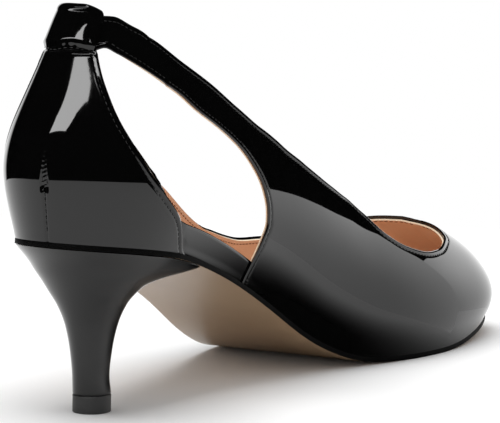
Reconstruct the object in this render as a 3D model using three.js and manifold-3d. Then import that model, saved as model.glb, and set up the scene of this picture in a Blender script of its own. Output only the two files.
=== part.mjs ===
// Pointed toe pump with a kitten heel, a side cut-out and a strap that runs back into a heel loop.
// Left shoe, in millimetres: +X to the toe, +Y to the outer side, +Z up, and the origin under the heel tip.
import * as THREE from "three";
import { mergeVertices } from "three/addons/utils/BufferGeometryUtils.js";
import Module from "manifold-3d";

const wasm = await Module();
wasm.setup();

// Driving sizes of the last
const SOLE_LENGTH = 246;
const HEEL_HEIGHT = 51.8;
const BALL_WIDTH = 67;
const SEAT_WIDTH = 50;
const HEEL_WALL_WIDTH = 60;
const HEEL_RADIUS = 34.5; // from the sole's back edge to the middle of the heel seat's round end
const TIP_SETBACK = 25; // the sole's back edge lies this far behind the middle of the heel tip
const CONE_HEIGHT = 88; // the last's top over the heel seat
const BALL_HEIGHT = 48.5; // the last's ridge over the sole at the ball
const TOE_SWING = 8.2; // how far the toe's point leans to the inner side
const SWING_START = 0.3; // share of the sole's length from which the last leans
const SWING_BEND = 1.5; // over 1 keeps the lean for the toe

// Leather and clearances
const UPPER_WALL = 2.0;
const OVERLAY_STEP = 0.8; // how far vamp and counter stand proud of the low side panel
const SOLE_THICKNESS = 1.6;
const INSOLE_THICKNESS = 1.2;
const GAP = 0.3;

// Heel, heel tip and loop
const TIP_HEIGHT = 5.4;
const TIP_LENGTH = 12;
const TIP_WIDTH = 11.2;
const LOOP_WIDTH = 16.4;
const LOOP_LEAF = 0.8;
const BREAST_SHARPNESS = 3.4; // over 2 squares the heel's front corners

// Girth is -1 at the sole's inner edge, 0 on the last's ridge and 1 at the sole's outer edge.
// Station is -1 at the back seam, 0 beside the middle of the heel seat and 1 at the toe's point.
const SEAT_END = HEEL_RADIUS / SOLE_LENGTH; // where the heel's round end passes into the waist

// Sole: place along its length, rise over the floor as a share of the heel height
const SOLE_RISE = [
  // at, rise
  [0.0, 1.0],
  [0.05, 0.973],
  [0.1, 0.938],
  [0.14, 0.905],
  [0.2, 0.82],
  [0.3, 0.656],
  [0.4, 0.436],
  [0.5, 0.164],
  [0.6, 0.0116],
  [0.68, 0.0],
  [0.75, 0.0],
  [0.8, 0.0135],
  [0.86, 0.0425],
  [0.93, 0.085],
  [0.98, 0.112],
  [1.0, 0.1235],
];

// Sections ahead of the heel: half widths at the sole and at the wall as shares of the ball width, and the ridge's
// height over the sole as a share of its height at the ball
const SECTIONS = [
  // at, inner sole, outer sole, inner wall, outer wall, ridge
  [0.2, 0.358, 0.373, 0.433, 0.448, 1.856],
  [0.3, 0.313, 0.373, 0.41, 0.44, 1.835],
  [0.4, 0.284, 0.385, 0.396, 0.448, 1.711],
  [0.5, 0.313, 0.43, 0.41, 0.478, 1.485],
  [0.6, 0.403, 0.487, 0.47, 0.53, 1.175],
  [0.68, 0.476, 0.525, 0.515, 0.56, 1.0],
  [0.75, 0.485, 0.507, 0.519, 0.545, 0.907],
  [0.8, 0.46, 0.466, 0.496, 0.503, 0.831],
  [0.86, 0.41, 0.394, 0.452, 0.43, 0.722],
  [0.93, 0.31, 0.269, 0.349, 0.301, 0.505],
  [0.98, 0.179, 0.143, 0.212, 0.17, 0.326],
  [1.0, 0.0, 0.0, 0.0, 0.0, 0.186],
];

// Half of the heel's section from the sole to the ridge, and the back seam's place as a share of the heel radius
const HEEL_SECTION = [
  // part of sole width, part of wall width, height, back seam
  [1.0, 0.0, 0.0, 0.0],
  [0.45, 0.55, 0.11, 0.035],
  [0.0, 1.0, 0.235, 0.067],
  [0.0, 0.93, 0.36, 0.046],
  [0.0, 0.74, 0.5, -0.041],
  [0.0, 0.52, 0.65, -0.162],
  [0.0, 0.33, 0.79, -0.29],
  [0.0, 0.16, 0.91, -0.55],
  [0.0, 0.0, 1.0, -1.0],
];

// Half of the forepart's section from the sole to the ridge
const FOREPART_SECTION = [
  // part of sole width, part of wall width, height
  [1.0, 0.0, 0.0],
  [0.3, 0.7, 0.12],
  [0.0, 1.0, 0.28],
  [0.0, 0.96, 0.45],
  [0.0, 0.865, 0.61],
  [0.0, 0.71, 0.78],
  [0.0, 0.48, 0.915],
  [0.0, 0.24, 0.98],
  [0.0, 0.0, 1.0],
];
const FOREPART_START = 0.5; // share of the sole's length from which the forepart's section holds alone

// The upper's top edge: the strap's upper edge and the throat on the inner side, the topline on the outer side
const THROAT_END = 0.831;
const TOPLINE = [
  // station, inner girth, outer girth
  [-1.0, -0.25, 0.25],
  [-0.8, -0.25, 0.25],
  [-0.66, -0.25, 0.27],
  [-0.57, -0.25, 0.35],
  [-0.5, -0.25, 0.44],
  [-0.35, -0.254, 0.487],
  [-0.18, -0.28, 0.515],
  [0.0, -0.315, 0.543],
  [0.07, -0.371, 0.562],
  [0.128, -0.415, 0.58],
  [0.186, -0.461, 0.592],
  [0.244, -0.486, 0.597],
  [0.302, -0.488, 0.592],
  [0.36, -0.464, 0.579],
  [0.419, -0.422, 0.566],
  [0.477, -0.371, 0.542],
  [0.512, -0.346, 0.516],
  [0.54, -0.354, 0.502],
  [0.581, -0.405, 0.486],
  [0.628, -0.435, 0.456],
  [0.674, -0.443, 0.427],
  [0.721, -0.424, 0.382],
  [0.767, -0.372, 0.312],
  [0.79, -0.335, 0.25],
  [0.81, -0.27, 0.15],
  [0.825, -0.19, 0.02],
  [THROAT_END, -0.09, -0.09],
];

// The cut-out on the inner side, between counter, low panel, vamp and strap
const CUTOUT = [
  // station, lower girth, upper girth
  [-0.566, -0.42, -0.36],
  [-0.55, -0.462, -0.338],
  [-0.5, -0.54, -0.347],
  [-0.4, -0.65, -0.365],
  [-0.25, -0.785, -0.395],
  [-0.09, -0.877, -0.43],
  [0.0, -0.892, -0.452],
  [0.07, -0.899, -0.512],
  [0.128, -0.906, -0.555],
  [0.17, -0.911, -0.594],
  [0.2, -0.914, -0.638],
  [0.21, -0.9, -0.658],
  [0.22, -0.825, -0.69],
  [0.2265, -0.76, -0.735],
];

// Front edge of the counter and rear edge of the vamp, from the sole up
const COUNTER_EDGE = [
  // girth without its sign, station
  [0.345, -0.55],
  [0.42, -0.567],
  [0.485, -0.533],
  [0.54, -0.5],
  [0.655, -0.4],
  [0.725, -0.333],
  [0.795, -0.233],
  [0.88, -0.083],
  [1.0, 0.012],
];
const VAMP_EDGE = [
  // girth without its sign, station
  [0.4, 0.262],
  [0.6, 0.243],
  [0.76, 0.2275],
  [0.82, 0.221],
  [0.905, 0.211],
  [1.0, 0.204],
];
const PANEL_TOP = { inner: 0.86, outer: 0.4 }; // girths inside the cut-out and above the topline

// Heel: horizontal sections up from the heel tip
const HEEL_SECTIONS = [
  // height as a share of the heel height, back and front from the tip's middle and half width in seat widths
  [0.21, -0.13, 0.106, 0.108],
  [0.362, -0.148, 0.12, 0.122],
  [0.517, -0.18, 0.142, 0.153],
  [0.62, -0.222, 0.172, 0.198],
  [0.7, -0.264, 0.205, 0.262],
  [0.765, -0.306, 0.28, 0.34],
  [0.819, -0.342, 0.39, 0.41],
  [0.86, -0.368, 0.53, 0.455],
  [0.907, -0.402, 0.62, 0.485],
  [0.965, -0.455, 0.64, 0.505],
  [1.03, -0.515, 0.64, 0.51],
];

const HEEL_FRONT = 0.3; // a station ahead of the heel

// How finely the surfaces are divided
const DIVISIONS = {
  heelTurn: 9,
  waist: 24,
  toe: 15,
  wallRows: 9,
  soleRows: 6,
  cutterRows: 26,
  edgeRows: 10,
  heelOutline: 36,
  loopRows: 14,
  loopLeaf: 4,
  loopFold: 6,
};
const TOE_LINE = 1 - 1e-6; // stations from here on are the toe's point itself
const NORMAL_STEP = 1e-3;
const LEVEL_EDGE = 0.1; // share of a side over which the wall's direction turns level at the sole
const SAME_POINT = 2e-3;

// Smooth, never overshooting curve through one column of a table
function curve(rows, column, key = (value) => value) {
  const x = rows.map((row) => key(row[0]));
  const y = rows.map((row) => row[column]);
  const last = x.length - 1;
  const slope = [];
  for (let i = 0; i < last; i++) slope.push((y[i + 1] - y[i]) / (x[i + 1] - x[i]));
  const tangent = x.map((unused, i) => {
    if (i === 0) return slope[0];
    if (i === last) return slope[last - 1];
    if (slope[i - 1] * slope[i] <= 0) return 0;
    const before = x[i] - x[i - 1];
    const after = x[i + 1] - x[i];
    const near = 2 * after + before;
    const far = after + 2 * before;
    return (near + far) / (near / slope[i - 1] + far / slope[i]);
  });
  return (value) => {
    const at = key(value);
    let i = 0;
    while (i < last - 1 && at > x[i + 1]) i++;
    const width = x[i + 1] - x[i];
    const u = THREE.MathUtils.clamp((at - x[i]) / width, 0, 1);
    const w = 1 - u;
    const ends = y[i] * w * w * (1 + 2 * u) + y[i + 1] * u * u * (1 + 2 * w);
    return ends + width * u * w * (tangent[i] * w - tangent[i + 1] * u);
  };
}

// Keys that give a table's end a round tip instead of a sharp one
const toToe = (at) => -Math.sqrt(Math.max(1 - at, 0));
const toThroat = (station) => -Math.sqrt(Math.max(THROAT_END - station, 0));

const rise = curve(SOLE_RISE, 1, toToe);
const seatRow = [
  SEAT_END,
  SEAT_WIDTH / 2 / BALL_WIDTH,
  SEAT_WIDTH / 2 / BALL_WIDTH,
  HEEL_WALL_WIDTH / 2 / BALL_WIDTH,
  HEEL_WALL_WIDTH / 2 / BALL_WIDTH,
  CONE_HEIGHT / BALL_HEIGHT,
];
const sectionRows = [seatRow, ...SECTIONS];
const innerSole = curve(sectionRows, 1, toToe);
const outerSole = curve(sectionRows, 2, toToe);
const innerWall = curve(sectionRows, 3, toToe);
const outerWall = curve(sectionRows, 4, toToe);
const ridge = curve(sectionRows, 5, toToe);

const bySteps = (rows) => rows.map((row, i) => [i / (rows.length - 1), ...row]);
const heelPart = [1, 2, 3, 4].map((column) => curve(bySteps(HEEL_SECTION), column));
const forePart = [1, 2, 3].map((column) => curve(bySteps(FOREPART_SECTION), column));

const innerTop = curve(TOPLINE, 1, toThroat);
const outerTop = curve(TOPLINE, 2, toThroat);
const cutoutLow = curve(CUTOUT, 1);
const cutoutHigh = curve(CUTOUT, 2);
const counterEdge = curve(COUNTER_EDGE, 1);
const vampEdge = curve(VAMP_EDGE, 1);

const backX = -TIP_SETBACK;
const seatX = backX + HEEL_RADIUS;
const alongOf = (x) => THREE.MathUtils.clamp((x - backX) / SOLE_LENGTH, 0, 1);
const soleBottom = (x) => HEEL_HEIGHT * rise(alongOf(x));
const wallBottom = (x) => soleBottom(x) + SOLE_THICKNESS + GAP;

const heelHalfWidth = (heel) => (heel[0] * SEAT_WIDTH + heel[1] * HEEL_WALL_WIDTH) / 2;

// A point of the last's surface
function lastPoint(station, girth) {
  const side = girth < 0 ? -1 : 1;
  const up = 1 - Math.abs(girth);
  const heel = heelPart.map((part) => part(up));
  if (station < 0) {
    const turn = ((1 + station) * Math.PI) / 2;
    const reach = HEEL_RADIUS * (1 + heel[3]);
    const floor = wallBottom(seatX - HEEL_RADIUS * Math.cos(turn));
    const top = wallBottom(seatX) + CONE_HEIGHT;
    return new THREE.Vector3(
      seatX - reach * Math.cos(turn),
      side * heelHalfWidth(heel) * Math.sin(turn),
      THREE.MathUtils.lerp(floor, top, heel[2]),
    );
  }
  const at = SEAT_END + (1 - SEAT_END) * station;
  const x = backX + SOLE_LENGTH * at;
  const fore = forePart.map((part) => part(up));
  const mix = THREE.MathUtils.smoothstep(at, SEAT_END, FOREPART_START);
  const [sole, wall, height] = fore.map((part, i) => THREE.MathUtils.lerp(heel[i], part, mix));
  const soleHalf = BALL_WIDTH * (side < 0 ? innerSole(at) : outerSole(at));
  const wallHalf = BALL_WIDTH * (side < 0 ? innerWall(at) : outerWall(at));
  const lean = -TOE_SWING * Math.max((at - SWING_START) / (1 - SWING_START), 0) ** SWING_BEND;
  return new THREE.Vector3(
    x,
    side * (sole * soleHalf + wall * wallHalf) + lean,
    wallBottom(x) + height * BALL_HEIGHT * ridge(at),
  );
}

// The last's outward direction, level at the sole's edge
function lastNormal(station, girth) {
  const up = 1 - Math.abs(girth);
  if (station > TOE_LINE) return new THREE.Vector3(1, 0, up ** 4).normalize();
  const s = Math.min(station, 1 - 2 * NORMAL_STEP);
  const g = THREE.MathUtils.clamp(girth, -1 + NORMAL_STEP, 1 - NORMAL_STEP);
  const alongStation = lastPoint(s + NORMAL_STEP, g).sub(lastPoint(s - NORMAL_STEP, g));
  const alongGirth = lastPoint(s, g + NORMAL_STEP).sub(lastPoint(s, g - NORMAL_STEP));
  const normal = alongStation.cross(alongGirth).normalize();
  normal.z *= THREE.MathUtils.smoothstep(up, 0, LEVEL_EDGE);
  return normal.normalize();
}

// A point at a depth inside the last's surface
function wallPoint(station, girth, depth) {
  return lastPoint(station, girth).addScaledVector(lastNormal(station, girth), -depth);
}

// Closed solids out of four-sided faces
function quad(faces, a, b, c, d) {
  faces.push(a, b, c, a, c, d);
}

function stitch(faces, lower, upper) {
  for (let i = 1; i < lower.length; i++) quad(faces, lower[i - 1], lower[i], upper[i], upper[i - 1]);
}

function solidOf(faces) {
  const open = new THREE.BufferGeometry().setFromPoints(faces);
  const merged = mergeVertices(open, SAME_POINT);
  const corner = merged.index.array;
  const kept = [];
  for (let i = 0; i < corner.length; i += 3) {
    const [a, b, c] = corner.slice(i, i + 3);
    if (a !== b && b !== c && a !== c) kept.push(a, b, c);
  }
  const vertProperties = merged.attributes.position.array;
  const made = new wasm.Manifold(new wasm.Mesh({ numProp: 3, vertProperties, triVerts: new Uint32Array(kept) }));
  if (made.volume() > 0) return made;
  const turned = new Uint32Array(kept);
  for (let i = 0; i < turned.length; i += 3) [turned[i + 1], turned[i + 2]] = [kept[i + 2], kept[i + 1]];
  return new wasm.Manifold(new wasm.Mesh({ numProp: 3, vertProperties, triVerts: turned }));
}

// The solid between two grids of points, one over the other, closed all round
function between(top, under) {
  const faces = [];
  for (let i = 1; i < top.length; i++) {
    stitch(faces, top[i - 1], top[i]);
    stitch(faces, under[i], under[i - 1]);
  }
  const side = (grid, j) => grid.map((row) => row.at(j));
  stitch(faces, under[0], top[0]);
  stitch(faces, top.at(-1), under.at(-1));
  stitch(faces, side(top, 0), side(under, 0));
  stitch(faces, side(under, -1), side(top, -1));
  return solidOf(faces);
}

// A patch of the wall between two depths: place(u, v) gives station and girth for shares u and v
function wallPatch(place, rows, columns, outer, inner) {
  const skin = (depth) =>
    steps(rows).map((u) => steps(columns).map((v) => wallPoint(...place(u, v), depth)));
  return between(skin(outer), skin(inner));
}

// Rings of equal count, one over the other, with flat or straight-sided ends
function lofted(rings) {
  const faces = [];
  const closedRings = rings.map((ring) => [...ring, ring[0]]);
  for (let i = 1; i < rings.length; i++) stitch(faces, closedRings[i - 1], closedRings[i]);
  for (const [ring, forward] of [[rings[0], false], [rings.at(-1), true]]) {
    const flat = ring.map((point) => new THREE.Vector2(...endPlane(rings, point)));
    const triangles = THREE.ShapeUtils.triangulateShape(flat, []);
    const [p, q, r] = triangles[0].map((index) => flat[index]);
    const sameWay = q.clone().sub(p).cross(r.clone().sub(p)) * THREE.ShapeUtils.area(flat) > 0;
    for (const [a, b, c] of triangles) {
      if (sameWay === forward) faces.push(ring[a], ring[b], ring[c]);
      else faces.push(ring[a], ring[c], ring[b]);
    }
  }
  return solidOf(faces);
}

// The two axes in which a ring shows its shape
function endPlane(rings, point) {
  const step = rings.at(-1)[0].clone().sub(rings[0][0]);
  return Math.abs(step.z) > Math.abs(step.y) ? [point.x, point.y] : [point.x, point.z];
}

const steps = (count) => Array.from({ length: count + 1 }, (unused, i) => i / count);
const eased = (share) => (1 - Math.cos(Math.PI * share)) / 2;

function stationList() {
  const turn = steps(DIVISIONS.heelTurn).map((u) => u - 1);
  const waist = steps(DIVISIONS.waist).map((u) => THROAT_END * Math.sin((u * Math.PI) / 2));
  const toe = steps(DIVISIONS.toe).map((u) => 1 - (1 - THROAT_END) * (1 - u) ** 2);
  return [...turn, ...waist.slice(1), ...toe.slice(1)];
}

// Upper: one hollow wall from the sole to the topline, open on top and underneath
function makeShell() {
  const stations = stationList();
  const split = (station) => {
    if (station < THROAT_END) return [innerTop(station), outerTop(station)];
    const meeting = innerTop(THROAT_END) * ((1 - station) / (1 - THROAT_END));
    return [meeting, meeting];
  };
  const columns = steps(DIVISIONS.wallRows);
  const skin = (depth, side) =>
    stations.map((station) => {
      const [inner, outer] = split(station);
      const from = side < 0 ? -1 : outer;
      const to = side < 0 ? inner : 1;
      return columns.map((v) => wallPoint(station, THREE.MathUtils.lerp(from, to, v), depth));
    });
  const faces = [];
  for (const side of [-1, 1]) {
    const outside = skin(0, side);
    const inside = skin(UPPER_WALL, side);
    const soleColumn = side < 0 ? 0 : columns.length - 1;
    const topColumn = side < 0 ? columns.length - 1 : 0;
    const rim = stations.filter((station) => station <= THROAT_END).length;
    for (let i = 1; i < stations.length; i++) {
      stitch(faces, outside[i - 1], outside[i]);
      stitch(faces, inside[i], inside[i - 1]);
    }
    const edges = [
      [outside.map((row) => row[soleColumn]), inside.map((row) => row[soleColumn])],
      [inside.slice(0, rim).map((row) => row[topColumn]), outside.slice(0, rim).map((row) => row[topColumn])],
    ];
    for (const [first, second] of edges) {
      if (side < 0) stitch(faces, first, second);
      else stitch(faces, second, first);
    }
  }
  return solidOf(faces);
}

// The low panels between counter and vamp are set in by the overlay step
function panelRecess(side) {
  const top = side < 0 ? PANEL_TOP.inner : PANEL_TOP.outer;
  const place = (u, v) => {
    const girth = THREE.MathUtils.lerp(1, top, u);
    return [THREE.MathUtils.lerp(counterEdge(girth), vampEdge(girth), v), side * girth];
  };
  const recess = wallPatch(place, DIVISIONS.edgeRows, DIVISIONS.cutterRows, -OVERLAY_STEP, OVERLAY_STEP);
  return recess.add(lowered(place));
}

// The recess's lowest strip, carried down past the sole's edge
function lowered(place) {
  const strip = (depth) =>
    steps(DIVISIONS.cutterRows).map((v) => {
      const point = wallPoint(...place(0, v), depth);
      return [GAP, -OVERLAY_STEP].map((shift) => point.clone().setZ(point.z + shift));
    });
  return between(strip(-OVERLAY_STEP), strip(OVERLAY_STEP));
}

// The station behind or beside the heel at which the wall is a given distance from the middle
function stationAt(distance, girth) {
  const halfWidth = heelHalfWidth(heelPart.map((part) => part(1 - girth)));
  return (Math.asin(Math.min(distance / halfWidth, 1)) * 2) / Math.PI - 1;
}

// Girths at the heel loop: its rim, the ends of its two leaves, and the ends of the thinned wall under it
const LOOP_GIRTH = { rim: TOPLINE[0][2], outerEnd: 0.412, innerEnd: 0.402, seatEnd: 0.42, seatTop: 0.19 };
const loopRecess = LOOP_LEAF + GAP;

// The wall's end inside the loop is thinned so that the loop's outer leaf lies flush with the counter
function loopSeat() {
  const half = LOOP_WIDTH / 2 + GAP;
  const place = (u, v) => {
    const girth = THREE.MathUtils.lerp(LOOP_GIRTH.seatEnd, LOOP_GIRTH.seatTop, u);
    const offset = THREE.MathUtils.lerp(-half, half, v);
    return [stationAt(Math.abs(offset), girth), Math.sign(offset || 1) * girth];
  };
  return wallPatch(place, DIVISIONS.edgeRows, DIVISIONS.loopRows, -loopRecess, loopRecess);
}

function makeUpper() {
  const reach = 3 * UPPER_WALL;
  const cutout = wallPatch(
    (u, v) => {
      const station = THREE.MathUtils.lerp(CUTOUT[0][0], CUTOUT.at(-1)[0], eased(u));
      return [station, THREE.MathUtils.lerp(cutoutLow(station), cutoutHigh(station), v)];
    },
    DIVISIONS.cutterRows,
    DIVISIONS.edgeRows / 2,
    -UPPER_WALL,
    reach,
  );
  return makeShell()
    .subtract(panelRecess(-1))
    .subtract(panelRecess(1))
    .subtract(loopSeat())
    .subtract(cutout);
}

// Heel loop: one leaf folded over the strap's end, from the counter's outside to its inside
function makeLoop() {
  const middle = (loopRecess + UPPER_WALL) / 2;
  const inside = UPPER_WALL + GAP;
  const { rim, outerEnd, innerEnd } = LOOP_GIRTH;
  const rings = steps(DIVISIONS.loopRows).map((v) => {
    const offset = THREE.MathUtils.lerp(-LOOP_WIDTH / 2, LOOP_WIDTH / 2, v);
    const side = Math.sign(offset || 1);
    const at = (girth, depth) => wallPoint(stationAt(Math.abs(offset), girth), side * girth, depth);
    const leaf = (depth, from, to) =>
      steps(DIVISIONS.loopLeaf).map((u) => at(THREE.MathUtils.lerp(from, to, u), depth));
    const fold = (radius) =>
      steps(DIVISIONS.loopFold).map((u) => {
        const point = at(rim, middle - radius * Math.cos(Math.PI * u));
        return point.setZ(point.z + radius * Math.sin(Math.PI * u));
      });
    return [
      ...leaf(0, outerEnd, rim).slice(0, -1),
      ...fold(middle),
      ...leaf(inside + LOOP_LEAF, rim, innerEnd).slice(1),
      ...leaf(inside, innerEnd, rim).slice(0, -1),
      ...fold(middle - LOOP_LEAF).reverse(),
      ...leaf(LOOP_LEAF, rim, outerEnd).slice(1),
    ];
  });
  return lofted(rings);
}

// A plate inside the sole's edge: its stations, its inset and its two faces' heights by place along the sole
function soleBlock(stations, inset, bottomOf, topOf) {
  const skin = (heightOf) =>
    stations.map((station) => {
      const inner = wallPoint(station, -1, inset);
      const outer = wallPoint(station, 1, inset);
      return steps(DIVISIONS.soleRows).map((v) => {
        const point = inner.clone().lerp(outer, v);
        return point.setZ(heightOf(point.x));
      });
    });
  return between(skin(topOf), skin(bottomOf));
}

const makeOutsole = () => soleBlock(stationList(), 0, soleBottom, (x) => soleBottom(x) + SOLE_THICKNESS);

function makeInsole() {
  const top = (x) => wallBottom(x) + INSOLE_THICKNESS;
  return soleBlock(stationList(), UPPER_WALL + GAP, wallBottom, top);
}

// A level outline, round at the back and flatter in front
function heelRing(back, front, halfWidth, height) {
  const middle = (back + front) / 2;
  const reach = (front - back) / 2;
  return steps(DIVISIONS.heelOutline)
    .slice(0, -1)
    .map((share) => {
      const forward = Math.cos(2 * Math.PI * share);
      const aside = Math.sin(2 * Math.PI * share);
      const power = forward > 0 ? 2 / BREAST_SHARPNESS : 1;
      const bend = (value) => Math.sign(value) * Math.abs(value) ** power;
      return new THREE.Vector3(middle + reach * bend(forward), halfWidth * bend(aside), height);
    });
}

const tipRing = (height) => heelRing(-TIP_LENGTH / 2, TIP_LENGTH / 2, TIP_WIDTH / 2, height);

// Heel: its flared top fits the sole's underside and stays inside the sole's edge
function makeHeel() {
  const rings = HEEL_SECTIONS.map(([height, back, front, halfWidth]) =>
    heelRing(back * SEAT_WIDTH, front * SEAT_WIDTH, halfWidth * SEAT_WIDTH, height * HEEL_HEIGHT),
  );
  const stations = stationList().filter((station) => station < HEEL_FRONT);
  const underSole = soleBlock(stations, 0, () => 0, (x) => soleBottom(x) - GAP);
  return lofted([tipRing(TIP_HEIGHT + GAP), ...rings]).intersect(underSole);
}

const makeHeelTip = () => lofted([tipRing(0), tipRing(TIP_HEIGHT)]);

// Materials and the finished group
const FINISHES = {
  patent: { color: "#141414", roughness: 0.12, metalness: 0 },
  lining: { color: "#c08a62", roughness: 0.7, metalness: 0 },
  sole: { color: "#7d6753", roughness: 0.55, metalness: 0 },
  rubber: { color: "#2c2c2c", roughness: 0.6, metalness: 0 },
};

function meshOf(name, solid, finish) {
  const made = solid.getMesh();
  const geometry = new THREE.BufferGeometry();
  geometry.setAttribute("position", new THREE.BufferAttribute(made.vertProperties, made.numProp));
  geometry.setIndex(new THREE.BufferAttribute(made.triVerts, 1));
  geometry.computeVertexNormals();
  const mesh = new THREE.Mesh(geometry, new THREE.MeshStandardMaterial(FINISHES[finish]));
  mesh.name = name;
  return mesh;
}

const shoe = new THREE.Group();
shoe.add(
  meshOf("upper", makeUpper(), "patent"),
  meshOf("heel_loop", makeLoop(), "patent"),
  meshOf("outsole", makeOutsole(), "sole"),
  meshOf("insole", makeInsole(), "lining"),
  meshOf("heel", makeHeel(), "patent"),
  meshOf("heel_tip", makeHeelTip(), "rubber"),
);

export default shoe;
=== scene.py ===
"""Pointed toe pump with a kitten heel, a side cut-out and a strap that runs back into a heel loop."""

import logging
import math
from dataclasses import dataclass
from enum import IntEnum
from functools import partial
from typing import Callable, Sequence

import bpy
import numpy as np
from mathutils import Matrix, Vector
from mathutils.kdtree import KDTree


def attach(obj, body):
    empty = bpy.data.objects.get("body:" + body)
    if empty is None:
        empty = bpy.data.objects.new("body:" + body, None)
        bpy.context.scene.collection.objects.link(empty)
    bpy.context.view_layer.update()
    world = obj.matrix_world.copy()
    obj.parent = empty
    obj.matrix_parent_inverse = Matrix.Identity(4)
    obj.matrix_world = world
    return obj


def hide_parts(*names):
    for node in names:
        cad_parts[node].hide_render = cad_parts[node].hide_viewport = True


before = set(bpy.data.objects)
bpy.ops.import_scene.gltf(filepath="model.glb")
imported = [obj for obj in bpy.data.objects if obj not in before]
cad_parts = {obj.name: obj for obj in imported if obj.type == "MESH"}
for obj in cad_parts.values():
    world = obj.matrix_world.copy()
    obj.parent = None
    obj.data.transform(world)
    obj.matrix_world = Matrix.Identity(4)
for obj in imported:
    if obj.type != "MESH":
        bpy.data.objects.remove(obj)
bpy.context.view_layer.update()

log = logging.getLogger("shoe")

MM = 0.001
Array = np.ndarray
Piece = bpy.types.Object
Material = bpy.types.Material
Tree = bpy.types.NodeTree
Socket = bpy.types.NodeSocket
# gives stations and girths for shares along and across a grid
Place = Callable[[Array, Array], tuple[Array, Array]]
# gives depths in millimetres inside the last for stations, girths and points
Depth = Callable[[Array, Array, Array], Array]


class Side(IntEnum):
    """The shoe's two sides, by the sign of their girths."""

    INNER = -1
    OUTER = 1


class Curve:
    """A smooth curve through a table's points that never overshoots them."""

    SAMPLES = 4000

    def __init__(
        self, x: Sequence[float], y: Sequence[float], round_end: float | None = None, even: float = 0.0
    ) -> None:
        """Works out the slopes.

        Args:
            x: Places, rising.
            y: Values at the places.
            round_end: Place at which the curve ends in a round tip, if it does.
            even: How far the curve's bends are evened out, in mean steps of the table.
        """
        self.even: tuple[Array, Array] | None = None
        self.round_end = round_end
        self.x = self.key(np.asarray(x, float))
        self.y = np.asarray(y, float)
        step = np.diff(self.x)
        slope = np.diff(self.y) / step
        tangent = np.concatenate([slope[:1], slope])
        for i in range(1, len(slope)):
            if slope[i - 1] * slope[i] <= 0:
                tangent[i] = 0
                continue
            near = 2 * step[i] + step[i - 1]
            far = step[i] + 2 * step[i - 1]
            tangent[i] = (near + far) / (near / slope[i - 1] + far / slope[i])
        self.tangent = tangent
        if even:
            self.even_out(even)

    def even_out(self, steps: float) -> None:
        """Spreads the curve's bends, with its ends held.

        Args:
            steps: Width of the spread in mean steps of the table.
        """
        at = np.linspace(self.x[0], self.x[-1], self.SAMPLES)
        width = steps * self.SAMPLES / (len(self.x) - 1)
        reach = int(3 * width)
        value = self.read(at)
        front = 2 * value[0] - value[reach:0:-1]
        rear = 2 * value[-1] - value[-2 : -reach - 2 : -1]
        bell = np.exp(-0.5 * (np.arange(-reach, reach + 1) / width) ** 2)
        self.even = (at, np.convolve(np.concatenate([front, value, rear]), bell / bell.sum(), mode="valid"))

    def key(self, value: Array) -> Array:
        """Stretches places near a round end.

        Args:
            value: Places.

        Returns:
            The stretched places, or the same ones if the curve has no round end.
        """
        if self.round_end is None:
            return value
        return -np.sqrt(np.maximum(self.round_end - value, 0))

    def __call__(self, value: Array) -> Array:
        """Reads the curve.

        Args:
            value: Places.

        Returns:
            The curve's values there, held level past its ends.
        """
        at = self.key(np.asarray(value, float))
        return self.read(at) if self.even is None else np.interp(at, *self.even)

    def read(self, at: Array) -> Array:
        """The curve's values at stretched places.

        Args:
            at: The stretched places.

        Returns:
            The values.
        """
        i = np.clip(np.searchsorted(self.x, at, side="left") - 1, 0, len(self.x) - 2)
        width = self.x[i + 1] - self.x[i]
        u = np.clip((at - self.x[i]) / width, 0, 1)
        w = 1 - u
        ends = self.y[i] * w * w * (1 + 2 * u) + self.y[i + 1] * u * u * (1 + 2 * w)
        return ends + width * u * w * (self.tangent[i] * w - self.tangent[i + 1] * u)


def smooth_step(value: Array, start: float, end: float) -> Array:
    """An even rise from 0 at start to 1 at end."""
    share = np.clip((np.asarray(value, float) - start) / (end - start), 0, 1)
    return share * share * (3 - 2 * share)


def bump(distance: Array, middle: float, width: float) -> Array:
    """A bell of height 1 at the middle, that is nearly gone two widths away."""
    return np.exp(-(((distance - middle) / width) ** 2))


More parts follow.
